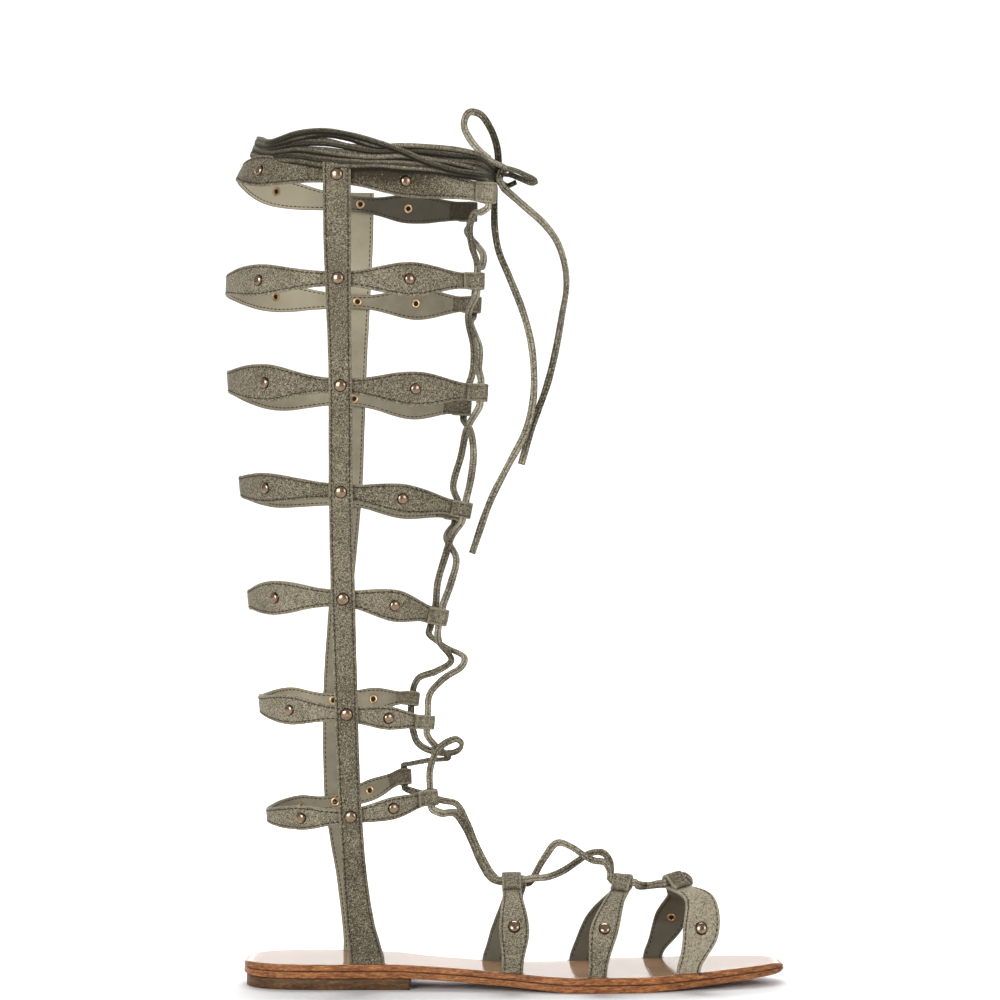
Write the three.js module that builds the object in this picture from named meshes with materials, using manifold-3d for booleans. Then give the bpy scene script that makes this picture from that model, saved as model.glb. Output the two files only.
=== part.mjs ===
// Knee-high gladiator sandal: a right shoe standing on its heel and ball.
// Millimetres. +X runs to the toe, +Y to the inner (medial) side, +Z up.
// The origin is the middle of the heel lift's underside.
import * as THREE from 'three';
import { mergeVertices } from 'three/addons/utils/BufferGeometryUtils.js';
import Module from 'manifold-3d';

const wasm = await Module();
wasm.setup();

// ---------------------------------------------------------------- sizes
const GAP = 0.3;                 // air between pieces that meet
const BAND_THICK = 1.7;          // suede backed with lining
const STAY_THICK = 1.7;
const FOOT_STRAP_THICK = 1.8;
const RIVET_HEAD = 2.85;         // radius of the dome
const RIVET_RISE = 1.6;
const RIVET_SHANK = 1.2;
const RIVET_SIDES = 8;
const HOLE_SIDES = 8;
const WASHER = 2.6;
const WASHER_THICK = 0.8;
const LACE_R = 1.2;
const LACE_SIDES = 6;
const LOOP_R = 2.8;              // middle line of a folded end, round the lace
const FLAP = 9.5;                // how far a folded end runs back
const EYE_CLEAR = 3.4;           // straight run of lace outside a folded end
const TOE_BAR_BULGE = new THREE.Vector3(3.4, 0, 1);
const HEEL_X = -39;
const TOE_X = 216;
const LIFT_FRONT = 40;
const OUTSOLE_SHARE = 0.5;       // part of the sole's thickness in the outsole

// Edge of the sole: outer (lateral) and inner (medial) side at each station.
const OUTLINE = [
  { x: -39, lateral: -7, medial: 7 },
  { x: -36, lateral: -16, medial: 16 },
  { x: -29, lateral: -24, medial: 24 },
  { x: -18, lateral: -28.5, medial: 28.8 },
  { x: -5, lateral: -30, medial: 30 },
  { x: 12, lateral: -30, medial: 28 },
  { x: 33, lateral: -29.7, medial: 20 },
  { x: 46, lateral: -29.3, medial: 13.5 },
  { x: 58, lateral: -30, medial: 10.5 },
  { x: 76, lateral: -33, medial: 10 },
  { x: 96, lateral: -38, medial: 15 },
  { x: 111, lateral: -41, medial: 24 },
  { x: 126, lateral: -41.7, medial: 32 },
  { x: 140, lateral: -40.6, medial: 36.2 },
  { x: 155, lateral: -37.6, medial: 37.8 },
  { x: 175, lateral: -30, medial: 35.5 },
  { x: 190, lateral: -22.8, medial: 31 },
  { x: 201, lateral: -16.8, medial: 26 },
  { x: 209, lateral: -11.2, medial: 19.6 },
  { x: 214, lateral: -5, medial: 13 },
  { x: 216, lateral: -1, medial: 8.5 },
];

// Height of the footbed and of the sole's underside along the shoe.
const PROFILE = [
  { x: -39, top: 11.9, bottom: 5.4 },
  { x: 35, top: 11.8, bottom: 5.4 },
  { x: 58, top: 10.4, bottom: 4.2 },
  { x: 81, top: 8.9, bottom: 2.6 },
  { x: 100, top: 7.7, bottom: 1.2 },
  { x: 112, top: 7.1, bottom: 0 },
  { x: 150, top: 7.1, bottom: 0 },
  { x: 165, top: 7.7, bottom: 0.9 },
  { x: 185, top: 8.6, bottom: 2.4 },
  { x: 203, top: 9.6, bottom: 4 },
  { x: 216, top: 10.3, bottom: 5 },
];

// The leg that the shaft is cut for. At each height: where the stays run,
// half the width there, the back of the leg and the two front edges.
const LEG = [
  { z: 55, lateral: 14.3, medial: 6, half: 35, back: -26.6, frontLateral: 47.8, frontMedial: 31.2 },
  { z: 82, lateral: 12.5, medial: 1.4, half: 36, back: -28.7, frontLateral: 47.3, frontMedial: 32.3 },
  { z: 131, lateral: 10.6, medial: 0.3, half: 38, back: -32.2, frontLateral: 45.5, frontMedial: 36.4 },
  { z: 182, lateral: 9.2, medial: 3.4, half: 43, back: -37.6, frontLateral: 53.2, frontMedial: 49 },
  { z: 232, lateral: 8.3, medial: 7.8, half: 47, back: -41.4, frontLateral: 64.5, frontMedial: 59.5 },
  { z: 281, lateral: 8.2, medial: 9.6, half: 50, back: -47.3, frontLateral: 70.6, frontMedial: 62.4 },
  { z: 330, lateral: 7, medial: 11.2, half: 50.5, back: -48.5, frontLateral: 68.9, frontMedial: 67.1 },
  { z: 366, lateral: 6.4, medial: 12.3, half: 50, back: -45.2, frontLateral: 74.2, frontMedial: 65 },
  { z: 380, lateral: 6.4, medial: 12.5, half: 50, back: -44.2, frontLateral: 74.6, frontMedial: 64.8 },
  { z: 388, lateral: 6.4, medial: 12.6, half: 50, back: -40.4, frontLateral: 74.6, frontMedial: 64.6 },
  { z: 396, lateral: 6.4, medial: 12.6, half: 50, back: -35.8, frontLateral: 74.6, frontMedial: 64.6 },
];
const FRONT_TURN = THREE.MathUtils.degToRad(56.6);   // stay round to front edge

// Leg bands from the top down. Heights of the middle line at the outer front
// edge, outer stay, back, inner stay and inner front edge, then the widths of
// the rear leaf, back, neck under the stay, front leaf and folded end, and
// where the leaves are widest (0 back, 1 stay, 2 front).
const BANDS = [
  { name: 'band_1_top', fl: 371.8, l: 377.3, b: 385.6, m: 376.9, fm: 370.5,
    rear: 15, back: 10, neck: 8.5, front: 14.5, end: 9.6, rearAt: 0.48, frontAt: 1.4 },
  { name: 'band_2', fl: 330.4, l: 329.2, b: 331, m: 328.6, fm: 325.2,
    rear: 15, back: 10.6, neck: 7.6, front: 16, end: 8, rearAt: 0.53, frontAt: 1.46 },
  { name: 'band_3', fl: 278.2, l: 279.8, b: 285.2, m: 280.4, fm: 275.2,
    rear: 17.5, back: 11, neck: 7.8, front: 16.2, end: 8.4, rearAt: 0.56, frontAt: 1.48 },
  { name: 'band_4', fl: 223.8, l: 231, b: 235.2, m: 230.8, fm: 223.8,
    rear: 14.2, back: 10.6, neck: 8, front: 13.8, end: 7.5, rearAt: 0.5, frontAt: 1.44 },
  { name: 'band_5', fl: 173.7, l: 181.9, b: 181.4, m: 182, fm: 174,
    rear: 16, back: 9.7, neck: 8.4, front: 14.8, end: 7.9, rearAt: 0.52, frontAt: 1.47 },
  { name: 'band_6', fl: 124, l: 128.5, b: 132, m: 132, fm: 134,
    rear: 13.9, back: 9, neck: 8, front: 11.2, end: 6.8, rearAt: 0.57, frontAt: 1.48 },
  { name: 'band_7_ankle', fl: 88.8, l: 81.1, b: 79.1, m: 82.8, fm: 96,
    rear: 11.5, back: 7.4, neck: 7.4, front: 10.6, end: 7.5, rearAt: 0.62, frontAt: 1.49 },
];

// The two stays, from the slot in the insole to the top of the shaft. Above
// the ankle they follow the leg, so only the lower rows carry x and y.
const STAY_FEET = {
  lateral: [
    { z: 9.1, x: 19.9, y: -27.2 },
    { z: 14, x: 19.6, y: -27.3 },
    { z: 30, x: 16.8, y: -30.6 },
    { z: 48, x: 14.8, y: -34.6 },
  ],
  medial: [
    { z: 9.1, x: 14.4, y: 25.4 },
    { z: 14, x: 14.2, y: 25.6 },
    { z: 30, x: 11.2, y: 29.6 },
    { z: 48, x: 7.8, y: 34.4 },
  ],
};
const STAY_TOP = 383;
const STAY_WIDTH = [
  { z: 0, w: 16.8 },
  { z: 14, w: 16.4 },
  { z: 30, w: 13.4 },
  { z: 48, w: 11.8 },
  { z: 80, w: 10.8 },
  { z: 150, w: 11 },
  { z: 300, w: 11.2 },
  { z: 345, w: 12.6 },
  { z: 384, w: 13.2 },
];

// Foot straps in pairs: foot in its slot, the stud, and the folded end.
const FOOT_STRAPS = [
  { name: 'foot_strap_1_lateral', baseX: 87.4, baseY: -33, midX: 88.2, midY: -37.4, midZ: 27,
    shoulderX: 87.6, shoulderY: -26, shoulderZ: 40, endX: 87, endY: -9.5, endZ: 46.8,
    base: 10.4, belly: 13.9, end: 9 },
  { name: 'foot_strap_1_medial', baseX: 78.2, baseY: 7.6, midX: 84.8, midY: 16.5, midZ: 24,
    shoulderX: 87.6, shoulderY: 20, shoulderZ: 37, endX: 89.4, endY: 9.5, endZ: 43.6,
    base: 10, belly: 14, end: 9 },
  { name: 'foot_strap_2_lateral', baseX: 126.6, baseY: -38.7, midX: 128.9, midY: -41.5, midZ: 26,
    shoulderX: 134, shoulderY: -28, shoulderZ: 39, endX: 139.2, endY: -10, endZ: 46,
    base: 9, belly: 12.8, end: 8.6 },
  { name: 'foot_strap_2_medial', baseX: 120.2, baseY: 26.4, midX: 129.3, midY: 32.5, midZ: 25,
    shoulderX: 136.6, shoulderY: 26, shoulderZ: 36.6, endX: 140.6, endY: 9.5, endZ: 44,
    base: 10, belly: 13.4, end: 8.6 },
  { name: 'foot_strap_3_lateral', baseX: 169.2, baseY: -29.3, midX: 174.8, midY: -32.5, midZ: 28,
    shoulderX: 174.6, shoulderY: -24.5, shoulderZ: 41.4, endX: 163.4, endY: -9.5, endZ: 46.6,
    base: 11.3, belly: 17, end: 9 },
  { name: 'foot_strap_3_medial', baseX: 156, baseY: 34.6, midX: 163.8, midY: 38.6, midZ: 24,
    shoulderX: 168, shoulderY: 31, shoulderZ: 36, endX: 165.8, endY: 12, endZ: 42.4,
    base: 9.6, belly: 15.5, end: 9 },
];
const FOOT_STRAP_BELLY = 0.42;

// The lacing between one pair of folded ends and the next: the strand from the
// outer end to the next inner one, and the strand back, with the point where
// they cross.
const LACING = [
  { cross: [68.5, 1, 353], outer: [[74, -14, 361]], inward: [[70.5, 10, 345]],
    inner: [[62.5, 15, 360.5]], outward: [[74.6, -10, 345]] },
  { cross: [70.2, 1, 306], outer: [[70.5, -13, 321]], inward: [[69.4, 14, 292]],
    inner: [[66.5, 14, 320]], outward: [[73, -13, 292]] },
  { cross: [67.2, 1, 262], outer: [[71, -14, 271]], inward: [[63, 8, 247], [59.8, 15, 236]],
    inner: [[65.5, 14, 270]], outward: [[70.9, -5, 251.5], [69, -14, 240]] },
  { cross: [56.8, 0, 206.5], outer: [[61, -14, 213.5]], inward: [[54.6, 5, 197.5], [51.2, 11, 189]],
    inner: [[57.2, 14, 214]], outward: [[62.4, -5, 201], [60, -11, 192.5]] },
  { cross: [57.4, 1, 158.8], outer: [[53, -12, 165]],
    inward: [[60.2, 5, 154], [54, 9, 149], [46, 14, 145.4]],
    inner: [[49.5, 14, 165]],
    outward: [[64.4, -2, 155], [63.4, -8, 148.6], [55.4, -12, 142.4]] },
  { cross: [55, 1, 109.5], outer: [[49.5, -10, 117]],
    inward: [[56, 6, 105], [47, 10, 104.2], [39.5, 14, 103]],
    inner: [[42, 13, 118], [47, 7, 112]],
    outward: [[61.6, -2, 110], [61.6, -8, 115], [53.4, -12, 111], [50, -16, 102.5]] },
  { cross: [65.5, 0, 74], outer: [[57, -18, 82.4], [62.5, -9, 80]], inward: [[70, 4, 62.5], [75, 7, 53.5]],
    inner: [[47, 16, 86], [57.5, 8, 82]], outward: [[69.4, -4, 60], [74, -8, 52]] },
  { cross: [121.2, 1, 59.5], outer: [[101.5, -6, 50], [111.5, -2, 54.2]],
    inward: [[127.8, 6, 60], [131.6, 9, 54]],
    inner: [[101.5, 7, 57], [108.6, 4, 65.3], [115.6, 3, 63.8]], outward: [[127.4, -6, 54.4]] },
  { cross: [153, 1, 45.6], outer: [[149.4, -6, 46]], inward: [[157, 8, 45.4]],
    inner: [[150, 8, 46]], outward: [[156.4, -6, 47.4]] },
];

// The lace above the top band: turns of a doubled thong round the leg.
const WRAP = [
  { front: 383.2, back: 395, out: 0.2 },
  { front: 385.6, back: 397.4, out: 0 },
  { front: 388, back: 399.8, out: -0.2 },
];
const WRAP_STEPS = 20;
const WRAP_MIDDLE = 19.6;
const WRAP_REACH = 56.2;
const WRAP_HALF = 50.5;

// Knot, bow and free ends: middle lines, in the shoe's own frame.
const KNOT = { x: 80.6, y: -3, z: 384.4, reach: 5.2 };
const BOW_TALL = [
  [80.9, -3.6, 389.8], [80.2, -5.5, 396.8], [77.2, -7, 405.4], [72, -8, 412.4], [66.8, -8, 413.2],
  [64.4, -7.2, 407.6], [67.4, -6.6, 400.4], [72.6, -6.2, 394.4], [76.4, -5.8, 391.2],
];
const BOW_SHORT = [
  [85, -5.6, 386.8], [89, -7, 385.6], [93.6, -8.2, 383.4], [97.6, -9.2, 381.2], [98.6, -9.6, 379.8],
  [96.6, -9.4, 379.3], [91.8, -8.4, 381.3], [88, -7.4, 383], [86, -6.4, 383.8],
];
const END_LONG = [
  [78.9, -5.6, 377.6], [78.9, -6.5, 369], [79.1, -7, 358], [81, -7, 347], [86.1, -7, 334.5],
  [92.2, -7, 319], [96.1, -7, 304.7], [97.7, -7, 290.5], [97.2, -7, 275], [93.6, -7, 260.7],
  [85.5, -7, 245], [77, -7, 228], [68.3, -7, 203.2],
];
const END_SHORT = [
  [83.3, -3.2, 377.8], [92, -4, 370], [103, -4, 360], [109, -4, 351.5], [112.6, -4, 340],
  [113.2, -4, 330], [111, -4, 316], [108.2, -4, 300.4], [104, -4, 283.4], [96.9, -4, 263.5],
  [91.7, -4, 245.6],
];

// ---------------------------------------------------------------- materials
const SUEDE = { color: 0x7d7667, roughness: 0.95, metalness: 0 };
const LACE = { color: 0x6f6857, roughness: 0.95, metalness: 0 };
const SOLE = { color: 0xa8683e, roughness: 0.6, metalness: 0 };
const LIFT = { color: 0x6e5138, roughness: 0.7, metalness: 0 };
const INSOLE = { color: 0xcaa07c, roughness: 0.3, metalness: 0 };
const ROSE_GOLD = { color: 0xbe8c78, roughness: 0.25, metalness: 1 };

const sandal = new THREE.Group();
sandal.name = 'gladiator_sandal';

// ---------------------------------------------------------------- helpers
// Smooth value of one column of a table at x.
function read(table, key, column, x) {
  const last = table.length - 1;
  if (x <= table[0][key]) return table[0][column];
  if (x >= table[last][key]) return table[last][column];
  let i = 0;
  while (table[i + 1][key] < x) i += 1;
  const a = table[i];
  const b = table[i + 1];
  const slope = (j) => {
    const p = table[Math.max(0, j - 1)];
    const q = table[Math.min(last, j + 1)];
    return (q[column] - p[column]) / (q[key] - p[key]);
  };
  const span = b[key] - a[key];
  const t = (x - a[key]) / span;
  const t2 = t * t;
  const t3 = t2 * t;
  return (2 * t3 - 3 * t2 + 1) * a[column] + (t3 - 2 * t2 + t) * span * slope(i)
    + (3 * t2 - 2 * t3) * b[column] + (t3 - t2) * span * slope(i + 1);
}

// Straight-line value, for tables whose flats must stay flat.
function readFlat(table, key, column, x) {
  let i = 0;
  while (i < table.length - 2 && table[i + 1][key] < x) i += 1;
  const a = table[i];
  const b = table[i + 1];
  const t = THREE.MathUtils.clamp((x - a[key]) / (b[key] - a[key]), 0, 1);
  return a[column] + (b[column] - a[column]) * t;
}

// A closed mesh from rings of equal count, capped at both ends.
function skinRings(rings) {
  const count = rings[0].length;
  const positions = rings.flat().flatMap((p) => [p.x, p.y, p.z]);
  const index = [];
  for (let i = 0; i < rings.length - 1; i += 1) {
    for (let j = 0; j < count; j += 1) {
      const k = (j + 1) % count;
      const a = i * count + j;
      const b = i * count + k;
      index.push(a, b, b + count, a, b + count, a + count);
    }
  }
  const end = (rings.length - 1) * count;
  for (let j = 1; j < count - 1; j += 1) {
    index.push(0, j + 1, j);
    index.push(end, end + j, end + j + 1);
  }
  const geometry = new THREE.BufferGeometry();
  geometry.setAttribute('position', new THREE.Float32BufferAttribute(positions, 3));
  geometry.setIndex(index);
  return geometry;
}

function solid(geometry) {
  const bare = geometry.clone();
  bare.deleteAttribute('normal');
  bare.deleteAttribute('uv');
  const merged = mergeVertices(bare, 1e-4);
  let body = new wasm.Manifold(new wasm.Mesh({
    numProp: 3,
    vertProperties: new Float32Array(merged.attributes.position.array),
    triVerts: new Uint32Array(merged.index.array),
  }));
  if (body.volume() < 0) {
    const index = merged.index.array;
    for (let i = 0; i < index.length; i += 3) {
      const keep = index[i];
      index[i] = index[i + 1];
      index[i + 1] = keep;
    }
    body = new wasm.Manifold(new wasm.Mesh({
      numProp: 3,
      vertProperties: new Float32Array(merged.attributes.position.array),
      triVerts: new Uint32Array(index),
    }));
  }
  return body;
}

function addPart(name, body, look) {
  const mesh = body.getMesh();
  const geometry = new THREE.BufferGeometry();
  geometry.setAttribute('position', new THREE.BufferAttribute(
    new Float32Array(mesh.vertProperties), 3));
  geometry.setIndex(new THREE.BufferAttribute(new Uint32Array(mesh.triVerts), 1));
  geometry.computeVertexNormals();
  const part = new THREE.Mesh(geometry, new THREE.MeshStandardMaterial(look));
  part.name = name;
  sandal.add(part);
}

// A flat strip: stations carry the middle point, width direction, outward
// normal and width.
function ribbon(stations, thick) {
  const rings = stations.map(({ at, across, out, width }) => {
    const w = across.clone().multiplyScalar(width / 2);
    const n = out.clone().multiplyScalar(thick / 2);
    return [
      at.clone().sub(w).sub(n),
      at.clone().add(w).sub(n),
      at.clone().add(w).add(n),
      at.clone().sub(w).add(n),
    ];
  });
  return solid(skinRings(rings));
}

// Carries a strip's last station round a loop and back along its outside.
function foldedEnd(station, thick) {
  const forward = station.forward;
  const stations = [];
  const steps = 5;
  const centre = station.at.clone().addScaledVector(station.out, LOOP_R);
  for (let i = 1; i <= steps; i += 1) {
    const turn = Math.PI * (i / steps) * 1.08;
    const radial = station.out.clone().multiplyScalar(-Math.cos(turn))
      .addScaledVector(forward, Math.sin(turn));
    stations.push({
      ...station,
      at: centre.clone().addScaledVector(radial, LOOP_R),
      out: radial.negate(),
    });
  }
  const rest = thick + GAP;
  const back = station.forward.clone().negate();
  const meet = station.at.clone().addScaledVector(back, FLAP * 0.55)
    .addScaledVector(station.out, rest + 0.15);
  const tip = station.at.clone().addScaledVector(back, FLAP - LOOP_R)
    .addScaledVector(station.out, rest + 0.25);
  const inward = station.out.clone().negate();
  const slanted = inward.clone().addScaledVector(forward, -0.25).normalize();
  stations.push({ ...station, at: meet, out: slanted, width: station.width * 0.98 });
  stations.push({ ...station, at: tip, out: inward, width: station.width * 0.9 });
  return stations;
}

// A round cord along points, with flat ends.
function cord(points, radius, steps) {
  const path = new THREE.CatmullRomCurve3(
    points.map((p) => (p.isVector3 ? p : new THREE.Vector3(...p))), false, 'centripetal');
  const section = new THREE.Shape();
  for (let i = 0; i < LACE_SIDES; i += 1) {
    const a = (i / LACE_SIDES) * 2 * Math.PI;
    const x = radius * Math.cos(a);
    const y = radius * Math.sin(a);
    if (i === 0) section.moveTo(x, y);
    else section.lineTo(x, y);
  }
  section.closePath();
  return solid(new THREE.ExtrudeGeometry(section, { steps, extrudePath: path, curveSegments: 1 }));
}

// A closed turn of cord round the leg, its section upright all the way.
function turnOfCord(points, radius) {
  const count = points.length;
  const positions = [];
  const index = [];
  points.forEach((p, i) => {
    const ahead = points[(i + 1) % count];
    const behind = points[(i + count - 1) % count];
    const forward = ahead.clone().sub(behind).normalize();
    const side = new THREE.Vector3(0, 0, 1).cross(forward).normalize();
    const up = forward.clone().cross(side);
    for (let j = 0; j < LACE_SIDES; j += 1) {
      const a = ((j + 0.5) / LACE_SIDES) * 2 * Math.PI;
      const q = p.clone().addScaledVector(side, radius * Math.cos(a))
        .addScaledVector(up, radius * Math.sin(a));
      positions.push(q.x, q.y, q.z);
      const k = (j + 1) % LACE_SIDES;
      const here = i * LACE_SIDES;
      const next = ((i + 1) % count) * LACE_SIDES;
      index.push(here + j, here + k, next + k, here + j, next + k, next + j);
    }
  });
  const geometry = new THREE.BufferGeometry();
  geometry.setAttribute('position', new THREE.Float32BufferAttribute(positions, 3));
  geometry.setIndex(index);
  return solid(geometry);
}

function joined(bodies) {
  return bodies.reduce((all, body) => all.add(body));
}

// ---------------------------------------------------------------- leg form
// Point of the leg at a height and a place round it: 0 back, 1 stay, 2 front.
function legPoint(side, place, z, out = 0) {
  const stay = read(LEG, 'z', side, z);
  const half = read(LEG, 'z', 'half', z);
  const back = read(LEG, 'z', 'back', z);
  const front = read(LEG, 'z', side === 'lateral' ? 'frontLateral' : 'frontMedial', z);
  const sign = side === 'lateral' ? -1 : 1;
  const reach = (front - stay) / Math.sin(FRONT_TURN);
  const at = (p) => {
    if (p <= 1) {
      const a = (Math.PI / 2) * p;
      return new THREE.Vector2(stay - (stay - back) * Math.cos(a), half * Math.sin(a));
    }
    const a = FRONT_TURN * (p - 1);
    return new THREE.Vector2(stay + reach * Math.sin(a), half * Math.cos(a));
  };
  const here = at(place);
  const along = at(place + 0.01).sub(at(place - 0.01)).normalize();
  const point = new THREE.Vector3(here.x, sign * here.y, z);
  return point.add(new THREE.Vector3(-along.y, sign * along.x, 0).multiplyScalar(out));
}

// ---------------------------------------------------------------- sole
function stationsOfSole(from, to, count) {
  const xs = [];
  for (let i = 0; i <= count; i += 1) {
    const t = i / count;
    const eased = (1 - Math.cos(Math.PI * t)) / 2;
    xs.push(from + (to - from) * (0.45 * t + 0.55 * eased));
  }
  return xs;
}

function soleLayer(xs, topAt, bottomAt, inset) {
  return solid(skinRings(xs.map((x) => {
    const lateral = read(OUTLINE, 'x', 'lateral', x) + inset;
    const medial = read(OUTLINE, 'x', 'medial', x) - inset;
    const top = topAt(x);
    const bottom = bottomAt(x);
    return [
      new THREE.Vector3(x, lateral, bottom),
      new THREE.Vector3(x, medial, bottom),
      new THREE.Vector3(x, medial, top),
      new THREE.Vector3(x, lateral, top),
    ];
  })));
}

const footbedAt = (x) => readFlat(PROFILE, 'x', 'top', x);
const undersideAt = (x) => readFlat(PROFILE, 'x', 'bottom', x);
const layerAt = (x) => undersideAt(x) + (footbedAt(x) - undersideAt(x)) * OUTSOLE_SHARE;

const soleXs = [...new Set([
  ...stationsOfSole(HEEL_X, TOE_X, 34),
  ...PROFILE.map((row) => row.x),
])].sort((a, b) => a - b).filter((x, i, all) => i === 0 || x - all[i - 1] > 0.4);

// ---------------------------------------------------------------- stays
function stayStations(side) {
  const sign = side === 'lateral' ? -1 : 1;
  const out = BAND_THICK / 2 + GAP + STAY_THICK / 2 + 0.15;
  const rows = STAY_FEET[side].map((row) => new THREE.Vector3(row.x, row.y, row.z));
  const heights = [66, 82, 98, 115, 131, 148, 165, 182, 198, 215, 232, 248, 265, 281, 297, 313,
    330, 346, 362, 376, STAY_TOP];
  heights.forEach((z) => rows.push(legPoint(side, 1, z, out)));
  return rows.map((at, i) => {
    const below = rows[Math.max(0, i - 1)];
    const above = rows[Math.min(rows.length - 1, i + 1)];
    const forward = above.clone().sub(below).normalize();
    const face = new THREE.Vector3(0, sign, 0);
    const across = forward.clone().cross(face).normalize();
    return {
      at,
      across,
      out: across.clone().cross(forward).normalize(),
      forward,
      width: read(STAY_WIDTH, 'z', 'w', at.z),
    };
  });
}

// ---------------------------------------------------------------- bands
function bandWidth(row, place) {
  const table = [
    { p: 0, w: row.back },
    { p: 0.16, w: row.back },
    { p: row.rearAt, w: row.rear },
    { p: 0.88, w: row.neck },
    { p: 1.1, w: row.neck },
    { p: row.frontAt, w: row.front },
    { p: 1.84, w: row.end },
    { p: 2, w: row.end },
  ];
  return read(table, 'p', 'w', place);
}

function bandHeight(row, side, place) {
  const table = [
    { p: 0, z: row.b },
    { p: 1, z: side === 'lateral' ? row.l : row.m },
    { p: 2, z: side === 'lateral' ? row.fl : row.fm },
  ];
  return read(table, 'p', 'z', place);
}

function bandStation(row, side, place) {
  const z = bandHeight(row, side, place);
  const at = legPoint(side, place, z);
  const next = legPoint(side, place + 0.02, bandHeight(row, side, Math.min(2, place + 0.02)));
  const before = legPoint(side, place - 0.02, bandHeight(row, side, Math.max(0, place - 0.02)));
  const forward = next.sub(before).normalize();
  const rise = legPoint(side, place, z + 4).sub(legPoint(side, place, z - 4)).normalize();
  const across = rise.addScaledVector(forward, -rise.dot(forward)).normalize();
  const out = new THREE.Vector3().crossVectors(forward, across);
  if (side === 'medial') out.negate();
  return { at, across, out, forward, width: bandWidth(row, place) };
}

const BAND_PLACES = [0.1, 0.21, 0.32, 0.43, 0.55, 0.68, 0.81, 0.94, 1.07, 1.2, 1.32, 1.44, 1.57,
  1.71, 1.86, 2];

function bandBody(row) {
  const side = (name) => {
    const stations = BAND_PLACES.map((p) => bandStation(row, name, p));
    return [...stations, ...foldedEnd(stations[stations.length - 1], BAND_THICK)];
  };
  const outer = side('lateral').reverse();
  const rear = bandStation(row, 'lateral', 0);
  rear.at = legPoint('lateral', 0, row.b);
  rear.out = new THREE.Vector3(-1, 0, 0).addScaledVector(rear.across, rear.across.x).normalize();
  return ribbon([...outer, rear, ...side('medial')], BAND_THICK);
}

// ---------------------------------------------------------------- foot straps
function footStrapStations(row) {
  const start = layerAt(row.baseX) + GAP * 1.6;
  const sole = footbedAt(row.baseX);
  const path = new THREE.CatmullRomCurve3([
    new THREE.Vector3(row.baseX, row.baseY, start),
    new THREE.Vector3(row.baseX, row.baseY, sole + 1.6),
    new THREE.Vector3(row.midX, row.midY, row.midZ),
    new THREE.Vector3(row.shoulderX, row.shoulderY, row.shoulderZ),
    new THREE.Vector3(row.endX, row.endY, row.endZ),
  ], false, 'centripetal');
  const table = [
    { p: 0, w: row.base },
    { p: 0.16, w: row.base },
    { p: FOOT_STRAP_BELLY, w: row.belly },
    { p: 0.78, w: row.end * 1.06 },
    { p: 1, w: row.end },
  ];
  const sign = Math.sign(row.midY);
  const count = 13;
  const stations = [];
  for (let i = 0; i <= count; i += 1) {
    const p = i / count;
    const forward = path.getTangentAt(p);
    const across = new THREE.Vector3(1, 0, 0).addScaledVector(forward, -forward.x).normalize();
    const out = new THREE.Vector3().crossVectors(forward, across).multiplyScalar(sign);
    stations.push({
      at: path.getPointAt(p),
      across,
      out,
      forward,
      width: read(table, 'p', 'w', p),
    });
  }
  return stations;
}

// ---------------------------------------------------------------- rivets
function rivetHole(at, out) {
  const hole = new THREE.CylinderGeometry(RIVET_SHANK + GAP, RIVET_SHANK + GAP, 16, HOLE_SIDES);
  hole.applyQuaternion(new THREE.Quaternion().setFromUnitVectors(
    new THREE.Vector3(0, 1, 0), out));
  hole.translate(at.x, at.y, at.z);
  return solid(hole);
}

// Dome, shank and inside washer in one turned piece.
function rivetBody(at, out) {
  const outside = BAND_THICK / 2 + GAP * 2 + STAY_THICK + 0.25;
  const inside = -BAND_THICK / 2 - GAP * 1.7;
  const profile = [
    [0, inside - WASHER_THICK],
    [WASHER, inside - WASHER_THICK],
    [WASHER, inside],
    [RIVET_SHANK, inside],
    [RIVET_SHANK, outside],
    [RIVET_HEAD, outside],
    [RIVET_HEAD * 0.8, outside + RIVET_RISE * 0.62],
    [0, outside + RIVET_RISE],
  ].map(([r, y]) => new THREE.Vector2(r, y));
  const body = new THREE.LatheGeometry(profile, RIVET_SIDES);
  body.applyQuaternion(new THREE.Quaternion().setFromUnitVectors(
    new THREE.Vector3(0, 1, 0), out));
  body.translate(at.x, at.y, at.z);
  return solid(body);
}

// ---------------------------------------------------------------- assembly
const insoleStraps = [];
const stays = {};
['lateral', 'medial'].forEach((side) => {
  const stations = stayStations(side);
  stays[side] = ribbon(stations, STAY_THICK);
  insoleStraps.push({ foot: stations[0], next: stations[1], thick: STAY_THICK });
});

const footStraps = FOOT_STRAPS.map((row) => {
  const stations = footStrapStations(row);
  insoleStraps.push({ foot: stations[0], next: stations[1], thick: FOOT_STRAP_THICK });
  return ribbon([...stations, ...foldedEnd(stations[stations.length - 1], FOOT_STRAP_THICK)],
    FOOT_STRAP_THICK);
});

const outsole = soleLayer(soleXs, (x) => layerAt(x) - GAP / 2, undersideAt, 0);
let insole = soleLayer(soleXs, footbedAt, (x) => layerAt(x) + GAP / 2, 0.5);
insoleStraps.forEach(({ foot, thick }) => {
  const slot = new THREE.BoxGeometry(foot.width + 2 * GAP + 0.3, thick + 2 * GAP + 0.3, 20);
  slot.translate(foot.at.x, foot.at.y, foot.at.z + 6);
  insole = insole.subtract(solid(slot));
});
addPart('outsole', outsole, SOLE);
addPart('insole', insole, INSOLE);

const liftXs = stationsOfSole(HEEL_X + 0.8, LIFT_FRONT, 16);
addPart('heel_lift', soleLayer(liftXs, (x) => undersideAt(x) - GAP, () => 0, 0.8), LIFT);

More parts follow.
